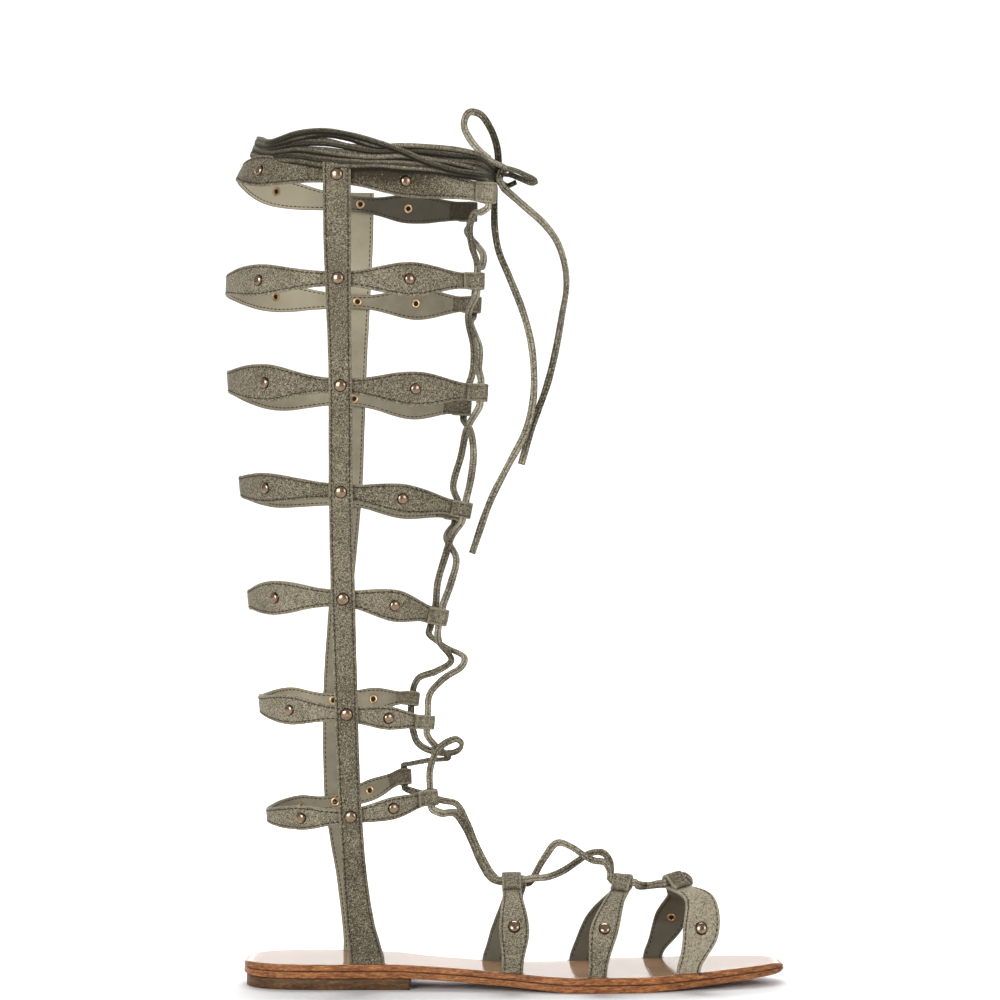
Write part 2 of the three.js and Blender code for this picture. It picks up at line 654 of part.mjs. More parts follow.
const bands = BANDS.map(bandBody);
const rivets = [];
BANDS.forEach((row, i) => {
  ['lateral', 'medial'].forEach((side) => {
    const { at, out } = bandStation(row, side, 1);
    const hole = rivetHole(at, out);
    bands[i] = bands[i].subtract(hole);
    stays[side] = stays[side].subtract(hole);
    rivets.push({ name: `rivet_${i + 1}_${side}`, body: rivetBody(at, out) });
  });
});
addPart('side_stay_lateral', stays.lateral, SUEDE);
addPart('side_stay_medial', stays.medial, SUEDE);
BANDS.forEach((row, i) => addPart(row.name, bands[i], SUEDE));
FOOT_STRAPS.forEach((row, i) => addPart(row.name, footStraps[i], SUEDE));
rivets.forEach(({ name, body }) => addPart(name, body, ROSE_GOLD));

// ---------------------------------------------------------------- lace
// The middle of each folded end, with the directions the lace runs through.
function bandEye(row, side) {
  const last = bandStation(row, side, 2);
  return {
    at: last.at.clone().addScaledVector(last.out, LOOP_R),
    through: last.across.clone(),
    half: row.end / 2,
  };
}

function footEye(row) {
  const stations = footStrapStations(row);
  const last = stations[stations.length - 1];
  return {
    at: last.at.clone().addScaledVector(last.out, LOOP_R),
    through: last.across.clone().negate(),
    half: row.end / 2,
  };
}

// Points where the lace leaves an eye towards the toe and enters from above.
function eyeEnds(eye) {
  const along = (d) => eye.at.clone().addScaledVector(eye.through, d);
  return {
    lower: along(-eye.half),
    leave: along(-eye.half - EYE_CLEAR),
    upper: along(eye.half),
    enter: along(eye.half + EYE_CLEAR),
  };
}

// Half of a gap's lacing: out of one eye, over the crossing, into the next.
function strand(from, to, middle, steps = 7 + 2 * middle.length) {
  const start = from.at.clone().addScaledVector(from.through, -LACE_R * 0.3);
  const finish = to.at.clone().addScaledVector(to.through, LACE_R * 0.3);
  const out = eyeEnds(from);
  const into = eyeEnds(to);
  return cord([start, out.lower, out.leave, ...middle, into.enter, into.upper, finish], LACE_R,
    steps);
}

const eyes = [
  ...BANDS.map((row) => [bandEye(row, 'lateral'), bandEye(row, 'medial')]),
  ...[0, 2, 4].map((i) => [footEye(FOOT_STRAPS[i]), footEye(FOOT_STRAPS[i + 1])]),
];
for (let i = 0; i < eyes.length - 1; i += 1) {
  const { cross, outer, inward, inner, outward } = LACING[i];
  const pieces = [
    strand(eyes[i][0], eyes[i + 1][1], [...outer, cross, ...inward]),
    strand(eyes[i][1], eyes[i + 1][0], [...inner, cross, ...outward]),
  ];
  if (i === eyes.length - 2) {
    const [lateral, medial] = eyes[i + 1];
    const [from, to] = [lateral, medial].map(eyeEnds);
    pieces.push(cord([
      lateral.at.clone().addScaledVector(lateral.through, LACE_R * 0.4),
      from.lower,
      from.leave,
      from.leave.clone().add(to.leave).multiplyScalar(0.5).add(TOE_BAR_BULGE),
      to.leave,
      to.lower,
      medial.at.clone().addScaledVector(medial.through, LACE_R * 0.4),
    ], LACE_R, 12));
  }
  addPart(`lace_crossing_${i + 1}`, joined(pieces), LACE);
}

// Turns of the lace above the top band, joined at the front by the knot side.
function wrapPoints(turn) {
  const points = [];
  for (let i = 0; i < WRAP_STEPS; i += 1) {
    const a = (i / WRAP_STEPS) * 2 * Math.PI;
    const level = (1 + Math.cos(a)) / 2;
    const z = turn.back + (turn.front - turn.back) * level
      + 4.2 * Math.exp(-(((Math.abs(Math.PI - a) - 1.7) / 0.7) ** 2));
    const x = WRAP_MIDDLE + WRAP_REACH * Math.cos(a);
    const y = -(WRAP_HALF + turn.out) * Math.sin(a);
    points.push(new THREE.Vector3(x, y, z));
  }
  return points;
}
addPart('lace_wrap', joined(WRAP.map((turn) => turnOfCord(wrapPoints(turn), LACE_R))), LACE);

const knot = new THREE.IcosahedronGeometry(KNOT.reach, 1);
knot.scale(0.75, 0.9, 0.8);
knot.translate(KNOT.x, KNOT.y, KNOT.z);
addPart('lace_knot', solid(knot), LACE);
addPart('lace_bow_tall', cord(BOW_TALL, LACE_R, 18), LACE);
addPart('lace_bow_short', cord(BOW_SHORT, LACE_R, 14), LACE);
addPart('lace_end_long', cord(END_LONG, LACE_R, 22), LACE);
addPart('lace_end_short', cord(END_SHORT, LACE_R, 18), LACE);

export default sandal;
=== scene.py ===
"""Knee-high gladiator sandal in suede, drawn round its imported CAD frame."""
import math
import bpy
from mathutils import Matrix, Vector, noise


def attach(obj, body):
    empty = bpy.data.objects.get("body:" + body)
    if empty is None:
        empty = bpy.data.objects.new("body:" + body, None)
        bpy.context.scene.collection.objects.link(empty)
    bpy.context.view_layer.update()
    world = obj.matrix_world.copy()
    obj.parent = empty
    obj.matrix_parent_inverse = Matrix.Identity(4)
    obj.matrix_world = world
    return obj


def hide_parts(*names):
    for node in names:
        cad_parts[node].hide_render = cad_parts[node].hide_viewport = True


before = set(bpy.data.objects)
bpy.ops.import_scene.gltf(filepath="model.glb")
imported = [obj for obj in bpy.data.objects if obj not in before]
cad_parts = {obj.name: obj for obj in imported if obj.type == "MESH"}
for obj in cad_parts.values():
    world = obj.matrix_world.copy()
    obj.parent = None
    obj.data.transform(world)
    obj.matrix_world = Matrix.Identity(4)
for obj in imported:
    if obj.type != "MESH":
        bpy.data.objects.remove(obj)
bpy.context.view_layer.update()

MM = 0.001

# ---- sizes, mm
BAND_THICK = 1.7
STAY_THICK = 1.7
FOOT_THICK = 1.8
GAP = 0.3
LOOP_R = 2.8
FLAP = 9.5
STAY_PAINTED_SHADING = [(0, -0.5), (120, -0.2), (200, 0.2), (384, 0)]  # height, painted light and shade: the stay's suede lighter or darker
LACE_W = 3.4
LACE_T = 1.9
STITCH_PITCH = 2.3
STITCH_IN = 1.35
STITCH_LONG = 1.65
STITCH_WIDE = 0.5
STITCH_TALL = 0.34
STUD_R = 2.85
STUD_RISE = 1.35
WASHER_R = 2.2
SOLE_BACK = -39
SOLE_TIP = 216
AT_TOP = 99  # marks a level of a sole layer that lies in its top
WRAP_MIDDLE = 7.4
WRAP_HALF = 50
WRAP_FRONT = 84
WRAP_BACK = 45

LEG = [  # z, lateral x, medial x, half width, back x, front lateral x, front medial x
    (55, 14.3, 6, 35, -26.6, 47.8, 31.2),
    (82, 12.5, 1.4, 36, -28.7, 47.3, 32.3),
    (131, 10.6, 0.3, 38, -32.2, 45.5, 36.4),
    (182, 9.2, 3.4, 43, -37.6, 53.2, 49),
    (232, 8.3, 7.8, 47, -41.4, 64.5, 59.5),
    (281, 8.2, 9.6, 50, -47.3, 70.6, 62.4),
    (330, 7, 11.2, 50.5, -48.5, 68.9, 67.1),
    (366, 6.4, 12.3, 50, -45.2, 74.2, 65),
    (380, 6.4, 12.5, 50, -44.2, 74.6, 64.8),
    (388, 6.4, 12.6, 50, -40.4, 74.6, 64.6),
    (396, 6.4, 12.6, 50, -35.8, 74.6, 64.6),
]
FRONT_TURN = math.radians(56.6)

# Heights of a band's middle line (front lateral, lateral, back, medial, front medial), its widths,
# the places of its leaves (0 back, 1 stay, 2 loop), and its painted light and shade: the whole band
# lighter or darker, shade and light painted on the lining, a paler front end, and on band 1 the
# painted shadow of the lace wrap.
BANDS = [
    dict(node="band_1_top", fl=371.8, l=377.3, b=385.6, m=376.9, fm=370.5,
         rear=15, back=10, neck=8.5, front=14.5, end=9.6, rear_at=0.48, front_at=1.4,
         shade=0.95, rear_glow=0.8, tone=-0.3, pale_end=1.9, upper=4.4),
    dict(node="band_2", fl=330.4, l=329.2, b=331, m=328.6, fm=325.2,
         rear=15, back=10.6, neck=7.6, front=16, end=8, rear_at=0.53, front_at=1.46,
         tone=0.7, rear_glow=0.45),
    dict(node="band_3", fl=278.2, l=279.8, b=285.2, m=280.4, fm=275.2,
         rear=17.5, back=11, neck=7.8, front=16.2, end=8.4, rear_at=0.56, front_at=1.48, tone=0.35),
    dict(node="band_4", fl=223.8, l=231, b=235.2, m=230.8, fm=223.8,
         rear=14.2, back=10.6, neck=8, front=13.8, end=7.5, rear_at=0.5, front_at=1.44, tone=0.2),
    dict(node="band_5", fl=173.7, l=181.9, b=181.4, m=182, fm=174,
         rear=16, back=9.7, neck=8.4, front=14.8, end=7.9, rear_at=0.52, front_at=1.47, tone=0.7),
    dict(node="band_6", fl=124, l=128.5, b=132, m=132, fm=134,
         rear=13.9, back=9, neck=8, front=11.2, end=6.8, rear_at=0.57, front_at=1.48, tone=1.2),
    dict(node="band_7_ankle", fl=88.8, l=81.1, b=79.1, m=82.8, fm=96,
         rear=11.5, back=7.4, neck=7.4, front=10.6, end=7.5, rear_at=0.62, front_at=1.49,
         tone=0.9, rear_shade=0.42),
]

STAY_FEET = {
    "lateral": [(19.9, -27.2, 9.1), (19.6, -27.3, 14), (16.8, -30.6, 30), (14.8, -34.6, 48)],
    "medial": [(14.4, 25.4, 9.1), (14.2, 25.6, 14), (11.2, 29.6, 30), (7.8, 34.4, 48)],
}
STAY_TOP = 383
STAY_WIDTH = [(0, 16.6), (14, 16.4), (18, 15.3), (30, 13.3), (48, 11.8), (71, 10.9), (112, 10.6),
              (157, 11.1), (255, 11), (300, 11), (350, 12.8), (384, 13)]

# Each strap's tone is painted light and shade on its suede, shade is painted shade on its lining,
# and strap 3 has a painted shade on its fold.
FOOT_STRAPS = [
    dict(node="foot_strap_1_lateral", base=(87.4, -33), mid=(88.2, -37.4, 27),
         shoulder=(87.6, -26, 40), end=(87, -9.5, 46.8), w=(10.2, 13.9, 9.6, 9), tone=0.9),
    dict(node="foot_strap_1_medial", base=(78.2, 7.6), mid=(84.8, 16.5, 24),
         shoulder=(87.6, 20, 37), end=(89.4, 9.5, 43.6), w=(10, 14, 9.6, 9)),
    dict(node="foot_strap_2_lateral", base=(126.6, -38.7), mid=(128.9, -41.5, 26),
         shoulder=(134, -28, 39), end=(139.2, -10, 46), w=(9, 12.8, 9.2, 8.6), tone=0.7),
    dict(node="foot_strap_2_medial", base=(120.2, 26.4), mid=(129.3, 32.5, 25),
         shoulder=(136.6, 26, 36.6), end=(140.6, 9.5, 44), w=(10, 13, 9.2, 8.6)),
    dict(node="foot_strap_3_lateral", base=(169.2, -29.3), mid=(174.8, -32.5, 28),
         shoulder=(174.6, -24.5, 41.4), end=(163.4, -9.5, 46.6), w=(11.3, 17, 12.6, 9),
         tone=2.1, fold_painted_shade=-1.9),
    dict(node="foot_strap_3_medial", base=(156, 34.6), mid=(163.8, 38.6, 24),
         shoulder=(168, 31, 36), end=(165.8, 12, 42.4), w=(9.5, 15.5, 10.5, 9), shade=0.86),
]

OUTLINE = [  # x, lateral y, medial y
    (-39, -7, 7), (-36, -16, 16), (-29, -24, 24), (-18, -28.5, 28.8), (-5, -30, 30),
    (12, -30, 28), (33, -29.7, 20), (46, -29.3, 13.5), (58, -30, 10.5), (76, -33, 10),
    (96, -38, 15), (111, -41, 24), (126, -41.7, 32), (140, -40.6, 36.2), (155, -37.6, 37.8),
    (175, -30, 35.5), (190, -22.8, 31), (201, -16.8, 26), (209, -11.2, 19.6), (214, -5, 13),
    (216, -1, 8.5),
]
PROFILE = [  # x, footbed z, underside z
    (-39, 11.1, 5.8), (-37.4, 11.7, 5.4), (-35, 11.9, 5.4), (35, 11.8, 5.4),
    (58, 10.4, 4.2), (81, 8.9, 2.6), (100, 7.7, 1.2),
    (112, 7.1, 0), (150, 7.1, 0), (165, 7.7, 0.9), (185, 8.6, 2.4), (203, 9.6, 4),
    (211, 10, 4.7), (214.5, 9.7, 5.2), (216, 8.8, 6.3),
]

# Middle points of the lacing in each gap: outer loop to inner loop, and back.
LACING = [
    ([(72.6, -24, 363.4), (69.6, -17, 363.8), (67.2, -9, 358), (68.2, 1, 350), (70.5, 9, 343)],
     [(66, 13, 358), (73.5, -4, 346), (73, -16, 338.5)]),
    ([(66.5, -11, 316), (68.8, 5, 303), (68.6, 16, 292)],
     [(67.5, 13, 314), (71.8, -5, 301), (71.6, -18, 290)]),
    ([(66, -13, 262), (63, 3, 250), (59, 15, 236)],
     [(67.5, 11, 262), (69, -5, 250), (67.8, -16, 238)]),
    ([(58.6, -10, 211), (55.5, 0, 202), (51.8, 10, 190)],
     [(56, 10, 211), (60.8, -3, 200.6), (58.4, -14, 189)]),
    ([(53, -11, 161), (58.5, -1, 152.5), (51, 8, 147), (43, 14, 144)],
     [(48, 12, 164), (56, 4, 158.5), (64.6, -3, 154), (63.4, -8, 149.6), (55.4, -13, 144.4),
      (48.6, -18, 137)]),
    ([(50.6, -12, 113), (57, -4, 106.5), (48, 8, 104.6), (39, 14, 102.6)],
     [(42, 11, 113), (51, 5, 108.6), (60.5, 0, 109), (63.6, -4, 112.6), (60.7, -8, 115.4),
      (52.6, -13, 111.2), (48.8, -18, 101.8)]),
    ([(54, -20, 81.4), (60.5, -12, 80.8), (64.8, -8, 75), (68.8, -3, 66), (72.2, 1, 57.6),
      (77.6, 6, 48.6)],
     [(44, 17, 88), (53.6, 12, 85.2), (61, 7, 83.6), (66, 3, 75), (70, 0, 65.4), (77, -6, 52.6)]),
    ([(97.4, -7.6, 49.8), (104, -4, 50), (112, 0, 52.8), (119, 3, 57.2), (125, 5, 60.6),
      (131, 7, 60.4), (134.4, 9, 55.4)],
     [(102.4, 6, 57.6), (108.8, 3, 65.6), (115.8, -1, 63.8), (121.4, -4, 60.2),
      (126, -6, 58), (131.2, -8.6, 57.2), (133.6, -10, 52.6)]),
    ([(149, -5, 46.2), (154, 3, 45.4)],
     [(147.4, 4, 45), (152, -3, 45.8), (157, -7.4, 47.4)]),
]

# The lace above the top band: heights on the outer side of each strand,
# from the back of the leg to the knot.
WRAP_X = (-24, -12, 0, 12, 24, 36, 48, 60, 70)
WRAP = [
    (394.1, 396.5, 397.0, 395.2, 392.1, 388.2, 383.4, 380.4, 379.5),
    (392.9, 394.2, 395.8, 393.9, 390.2, 390.6, 390.6, 390.2, 389.0),
    (391.6, 392.2, 391.9, 389.9, 388.2, 388.8, 388.5, 387.7, 387.7),
    (389.2, 389.1, 387.3, 385.7, 385.1, 385.8, 384.9, 383.4, 381.6),
    (387.6, 386.4, 384.2, 383.0, 382.6, 382.6, 381.9, 380.6, 379.8),
    (386.0, 383.9, 381.4, 380.9, 381.3, 380.6, 380.2, 379.1, 378.3),
    (391.4, 393.6, 393.4, 390.6, 389.6, 387.0, 387.6, 384.8, 384.2),
    (388.6, 389.6, 389.0, 387.4, 386.6, 387.2, 384.6, 385.6, 386.0),
    (386.8, 385.6, 385.8, 384.6, 384.2, 384.0, 383.4, 382.2, 382.8),
]
# Painted light and shade: each strand of the lace wrap lighter or darker.
WRAP_PAINTED_SHADING = (1.2, -0.8, -1.7, 0.7, -1.5, 0.3, -1.7, 1.0, -1.2)
WRAP_STAND = (4.2, 3.0, 2.6, 2.3, 2.2, 2.0, 0.9, 0.7, 0.6)

BOW_TALL = [
    (80.9, -3.6, 389.8), (80.2, -5.5, 396.8), (77.2, -7, 405.4), (72, -8, 412.4),
    (66.8, -8, 413.2), (64.4, -7.2, 407.6), (67.4, -6.6, 400.4), (72.6, -6.2, 394.4),
    (76.4, -5.8, 391.2),
]
BOW_SHORT = [
    (85, -5.6, 386.8), (89, -7, 385.6), (93.6, -8.2, 383.4), (97.6, -9.2, 381.2),
    (98.6, -9.6, 379.8), (96.6, -9.4, 379.3), (91.8, -8.4, 381.3), (88, -7.4, 383),
    (86, -6.4, 383.8),
]
END_LONG = [
    (78.9, -5.6, 377.6), (78.9, -6.5, 369), (79.1, -7, 358), (81, -7, 347),
    (86.1, -7, 334.5), (92.2, -7, 319), (96.1, -7, 304.7), (97.7, -7, 290.5),
    (97.2, -7, 275), (93.6, -7, 260.7), (85.5, -7, 245), (77, -7, 228), (68.3, -7, 203.2),
]
END_SHORT = [
    (83.3, -3.2, 377.8), (92, -4, 370), (103, -4, 360), (109, -4, 351.5), (112.6, -4, 340),
    (113.2, -4, 330), (111, -4, 316), (108.2, -4, 300.4), (104, -4, 283.4),
    (96.9, -4, 263.5), (91.7, -4, 245.6),
]


# ---- camera
def add_object(name, data):
    obj = bpy.data.objects.new(name, data)
    bpy.context.scene.collection.objects.link(obj)
    return obj


def make_camera():
    data = bpy.data.cameras.new("camera")
    data.sensor_width = 36
    data.lens = 105.73
    data.clip_end = 20
    camera = add_object("camera", data)
    camera.location = (0.0816, -1.4, 0.1835)
    camera.rotation_euler = (math.radians(91.853), 0, 0)
    bpy.context.scene.camera = camera


make_camera()


# ---- materials
class Graph:
    """Small helper round one material's nodes."""

    def __init__(self, name):
        self.material = bpy.data.materials.new(name)
        self.material.use_nodes = True
        self.nodes = self.material.node_tree.nodes
        self.links = self.material.node_tree.links
        self.shader = self.nodes["Principled BSDF"]
        self.place = self.nodes.new("ShaderNodeTexCoord").outputs["Object"]

    def link(self, a, b):
        self.links.new(a, b)

    def feed(self, socket, value):
        """Set a socket to a number or a colour, or link an output to it."""
        if isinstance(value, (int, float)):
            socket.default_value = value
        elif isinstance(value, tuple):
            socket.default_value = (*value, 1)
        else:
            self.link(value, socket)

    def noise(self, scale, detail=2.0, rough=0.55, stretch=None):
        node = self.nodes.new("ShaderNodeTexNoise")
        node.inputs["Scale"].default_value = scale
        node.inputs["Detail"].default_value = detail
        node.inputs["Roughness"].default_value = rough
        source = self.place
        if stretch:
            mapping = self.nodes.new("ShaderNodeMapping")
            mapping.inputs["Scale"].default_value = stretch
            self.link(source, mapping.inputs["Vector"])
            source = mapping.outputs["Vector"]
        self.link(source, node.inputs["Vector"])
        return node.outputs["Fac"]

    def math(self, op, a, b):
        node = self.nodes.new("ShaderNodeMath")
        node.operation = op
        for socket, value in zip(node.inputs, (a, b)):
            self.feed(socket, value)
        return node.outputs[0]

    def add(self, a, b):
        return self.math("ADD", a, b)

    def times(self, a, b):
        return self.math("MULTIPLY", a, b)

    def ramp(self, value, stops):
        node = self.nodes.new("ShaderNodeValToRGB")
        ramp = node.color_ramp
        while len(ramp.elements) < len(stops):
            ramp.elements.new(0.5)
        for element, (at, colour) in zip(ramp.elements, stops):
            element.position = at
            element.color = (*colour, 1)
        self.link(value, node.inputs["Fac"])
        return node.outputs["Color"]

    def mix(self, factor, a, b):
        node = self.nodes.new("ShaderNodeMix")
        node.data_type = "RGBA"
        sockets = (node.inputs[0], node.inputs[6], node.inputs[7])
        for socket, value in zip(sockets, (factor, a, b)):
            self.feed(socket, value)
        return node.outputs[2]

    def attribute(self, name):
        node = self.nodes.new("ShaderNodeAttribute")
        node.attribute_name = name
        return node.outputs["Fac"]

    def bump(self, height, strength, distance):
        node = self.nodes.new("ShaderNodeBump")
        node.inputs["Strength"].default_value = strength
        node.inputs["Distance"].default_value = distance
        self.link(height, node.inputs["Height"])
        self.link(node.outputs["Normal"], self.shader.inputs["Normal"])

    def set(self, **values):
        for name, value in values.items():
            self.feed(self.shader.inputs[name.replace("_", " ")], value)


def suede(name, dark, mid, light, grain=1500, edge=True, pull=0.05, rough=1.0):
    g = Graph(name)
    fine = g.noise(grain, 2, 0.6)
    nap = g.noise(grain * 0.42, 2, 0.5)
    tone = g.noise(60, 2, 0.5)
    mixed = g.add(g.times(fine, 0.70), g.times(nap, 0.22))
    mixed = g.add(mixed, g.times(tone, 0.08))
    mixed = g.add(g.times(mixed, rough), 0.5 - 0.5 * rough)
    # Painted light and shade: the tone attribute moves the nap lighter or darker, besides a little
    # random tone.
    mixed = g.add(mixed, g.times(g.attribute("tone"), pull))
    pale = tuple(min(1, c * 1.5) for c in light)
    colour = g.ramp(mixed, [(0.39, dark), (0.5, mid), (0.61, light), (0.76, pale)])
    # Painted shade: darker where the shade attribute is set, on the inner side of the straps at
    # their turned ends and on the edges, grooves and undersides of the laces.
    shade = g.attribute("shade")
    colour = g.mix(g.times(shade, 0.9), colour, tuple(c * 0.6 for c in dark))
    if edge:
        wear = g.times(g.attribute("edge"), g.times(nap, 0.9))
        colour = g.mix(wear, colour, light)
        crease = g.attribute("seam")
        colour = g.mix(g.times(crease, 0.5), colour, dark)
    g.set(Base_Color=colour, Roughness=0.95, Specular_IOR_Level=0.12, Sheen_Weight=0.15,
          Sheen_Roughness=0.45, Sheen_Tint=(0.80, 0.76, 0.64))
    g.bump(g.add(g.times(fine, 0.8), g.times(nap, 0.6)), 0.7, 0.0007)
    return g.material


def smooth_leather(name, dark, light, rough, scale=160, bump=0.12, coat=0.0, gloss=0.2):
    g = Graph(name)
    cloud = g.noise(scale, 4, 0.6)
    pore = g.noise(2600, 2, 0.5)
    tone = g.noise(28, 2, 0.5)
    both = g.add(g.times(cloud, 0.5), g.times(tone, 0.5))
    colour = g.ramp(both, [(0.36, dark), (0.64, light)])
    # Painted shade darkens the lining where shade is set; painted light makes it paler where glow
    # is set.
    colour = g.mix(g.times(g.attribute("shade"), 0.85), colour,
                   tuple(c * 0.12 for c in dark))
    colour = g.mix(g.attribute("glow"), colour, tuple(min(1, c * 1.55) for c in light))
    g.set(Base_Color=colour,
          Roughness=g.add(rough, g.times(cloud, 0.1)),
          Specular_IOR_Level=gloss, Coat_Weight=coat, Coat_Roughness=0.08)
    g.bump(g.add(pore, g.times(cloud, 0.6)), bump, 0.0002)
    return g.material


def cut_edge(name, dark, mid, light):
    g = Graph(name)
    fibre = g.noise(900, 4, 0.75, stretch=(0.5, 0.5, 2.2))
    streak = g.noise(120, 3, 0.6, stretch=(1, 1, 7))
    both = g.add(g.times(fibre, 0.6), g.times(streak, 0.4))
    colour = g.ramp(both, [(0.36, dark), (0.5, mid), (0.64, light)])
    colour = g.mix(g.times(g.attribute("seam"), 0.85), colour, dark)
    g.set(Base_Color=colour, Roughness=0.58, Specular_IOR_Level=0.35)
    g.bump(both, 0.4, 0.0004)
    return g.material


def metal(name, dark, light, rough):
    g = Graph(name)
    scuff = g.noise(700, 3, 0.6)
    colour = g.ramp(scuff, [(0.3, dark), (0.7, light)])
    # Painted dark reflection and shade: the foot and lower side of each dome and the edges of each
    # washer are darkened.
    colour = g.mix(g.attribute("rim"), colour, tuple(c * 0.12 for c in dark))
    g.set(Base_Color=colour, Metallic=1.0,
          Roughness=g.add(rough, g.times(scuff, 0.08)))
    g.bump(scuff, 0.05, 0.0001)
    return g.material


SUEDE = suede("suede", (0.040, 0.033, 0.0205), (0.128, 0.108, 0.072), (0.330, 0.292, 0.212),
              grain=2000)
LACE_SUEDE = suede("lace_suede", (0.026, 0.021, 0.013), (0.122, 0.104, 0.068),
                   (0.45, 0.405, 0.305), grain=2000, edge=False, pull=0.075)
WRAP_SUEDE = suede("wrap_suede", (0.026, 0.021, 0.013), (0.122, 0.104, 0.068),
                   (0.45, 0.405, 0.305), grain=2000, edge=False, pull=0.07, rough=0.55)
LINING = smooth_leather("lining", (0.268, 0.234, 0.165), (0.376, 0.336, 0.246), 0.6)
THREAD = smooth_leather("thread", (0.022, 0.017, 0.011), (0.045, 0.034, 0.022), 0.7, 900)
SOLE = cut_edge("sole_leather", (0.056, 0.015, 0.004), (0.25, 0.086, 0.023), (0.54, 0.235, 0.083))
LIFT = cut_edge("lift_leather", (0.030, 0.011, 0.003), (0.085, 0.037, 0.011), (0.20, 0.10, 0.036))
INSOLE = smooth_leather("insole_leather", (0.265, 0.15, 0.083), (0.315, 0.19, 0.11), 0.5,
                        scale=70, bump=0.03, coat=0.8, gloss=0.0)
INSOLE.node_tree.nodes["Principled BSDF"].inputs["Coat IOR"].default_value = 1.75
ROSE = metal("rose_gold", (0.23, 0.155, 0.10), (0.43, 0.31, 0.215), 0.14)
BRASS = metal("washer_brass", (0.40, 0.25, 0.125), (0.64, 0.44, 0.25), 0.28)
# A near-black leather for the disc in each washer's hole: painted shade of the rivet's hollow.
HOLLOW_PAINTED_SHADE = smooth_leather("rivet_hollow_painted_shade", (0.012, 0.009, 0.006), (0.03, 0.022, 0.015), 0.8)


# ---- mesh helpers
def piece(name, vertices, faces, materials, replaces=(), face_materials=None,
          attributes=None):
    """A visible piece from sizes in mm and the nodes it stands for."""
    mesh = bpy.data.meshes.new(name)
    mesh.from_pydata([Vector(v) * MM for v in vertices], [], faces)
    for material in materials:
        mesh.materials.append(material)
    if face_materials:
        mesh.polygons.foreach_set("material_index", face_materials)
    for key, values in (attributes or {}).items():
        mesh.attributes.new(key, "FLOAT", "POINT").data.foreach_set("value", values)
    mesh.update()
    mesh.polygons.foreach_set("use_smooth", [True] * len(mesh.polygons))
    obj = add_object(name, mesh)
    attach(obj, "root")
    if replaces:
        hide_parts(*replaces)
    return obj


def read(table, key, column, x):
    """Smooth value of one column of a table at x."""
    last = len(table) - 1
    if x <= table[0][key]:
        return table[0][column]
    if x >= table[last][key]:
        return table[last][column]
    i = 0
    while table[i + 1][key] < x:
        i += 1

    def slope(j):
        p, q = table[max(0, j - 1)], table[min(last, j + 1)]
        return (q[column] - p[column]) / (q[key] - p[key])

    span = table[i + 1][key] - table[i][key]
    t = (x - table[i][key]) / span
    return ((2 * t ** 3 - 3 * t ** 2 + 1) * table[i][column]
            + (t ** 3 - 2 * t ** 2 + t) * span * slope(i)
            + (3 * t ** 2 - 2 * t ** 3) * table[i + 1][column]
            + (t ** 3 - t ** 2) * span * slope(i + 1))


def unit(x):
    return min(1, max(0, x))


def read_flat(table, column, x):
    """Value of one column of a table at x, on straight lines between its rows."""
    i = 0
    while i < len(table) - 2 and table[i + 1][0] < x:
        i += 1
    a, b = table[i], table[i + 1]
    t = unit((x - a[0]) / (b[0] - a[0]))
    return a[column] + (b[column] - a[column]) * t


def curve_points(points, step):
    """Centripetal Catmull-Rom through the points, resampled every step mm."""
    pts = [Vector(p) for p in points]
    ctrl = [pts[0] * 2 - pts[1]] + pts + [pts[-1] * 2 - pts[-2]]
    dense = []
    for i in range(1, len(ctrl) - 2):
        p0, p1, p2, p3 = ctrl[i - 1:i + 3]
        t0 = 0.0
        t1 = t0 + max((p1 - p0).length, 1e-6) ** 0.5
        t2 = t1 + max((p2 - p1).length, 1e-6) ** 0.5
        t3 = t2 + max((p3 - p2).length, 1e-6) ** 0.5
        for j in range(16):
            t = t1 + (t2 - t1) * j / 16
            a1 = p0 * ((t1 - t) / (t1 - t0)) + p1 * ((t - t0) / (t1 - t0))
            a2 = p1 * ((t2 - t) / (t2 - t1)) + p2 * ((t - t1) / (t2 - t1))
            a3 = p2 * ((t3 - t) / (t3 - t2)) + p3 * ((t - t2) / (t3 - t2))
            b1 = a1 * ((t2 - t) / (t2 - t0)) + a2 * ((t - t0) / (t2 - t0))
            b2 = a2 * ((t3 - t) / (t3 - t1)) + a3 * ((t - t1) / (t3 - t1))
            dense.append(b1 * ((t2 - t) / (t2 - t1)) + b2 * ((t - t1) / (t2 - t1)))
    dense.append(ctrl[-2])
    lengths = [0.0]
    for a, b in zip(dense, dense[1:]):
        lengths.append(lengths[-1] + (b - a).length)
    count = max(3, round(lengths[-1] / step))
    result, k = [], 0
    for i in range(count + 1):
        target = lengths[-1] * i / count
        while k < len(lengths) - 2 and lengths[k + 1] < target:
            k += 1
        span = lengths[k + 1] - lengths[k]
        t = (target - lengths[k]) / span if span > 1e-9 else 0
        result.append(dense[k].lerp(dense[k + 1], t))
    return result


def heading(line, i):
    """Direction of a resampled line at its point i."""
    return (line[min(i + 1, len(line) - 1)] - line[max(i - 1, 0)]).normalized()


def tube_faces(rings, count, base=0):
    """Faces of a capped tube: rings of count points each, stored in order."""
    faces = []
    for i in range(rings - 1):
        for j in range(count):
            a = base + i * count + j
            b = base + i * count + (j + 1) % count
            c = base + (i + 1) * count + (j + 1) % count
            d = base + (i + 1) * count + j
            faces.append((a, b, c, d))
    faces.append(tuple(base + j for j in reversed(range(count))))
    faces.append(tuple(base + (rings - 1) * count + j for j in range(count)))
    return faces


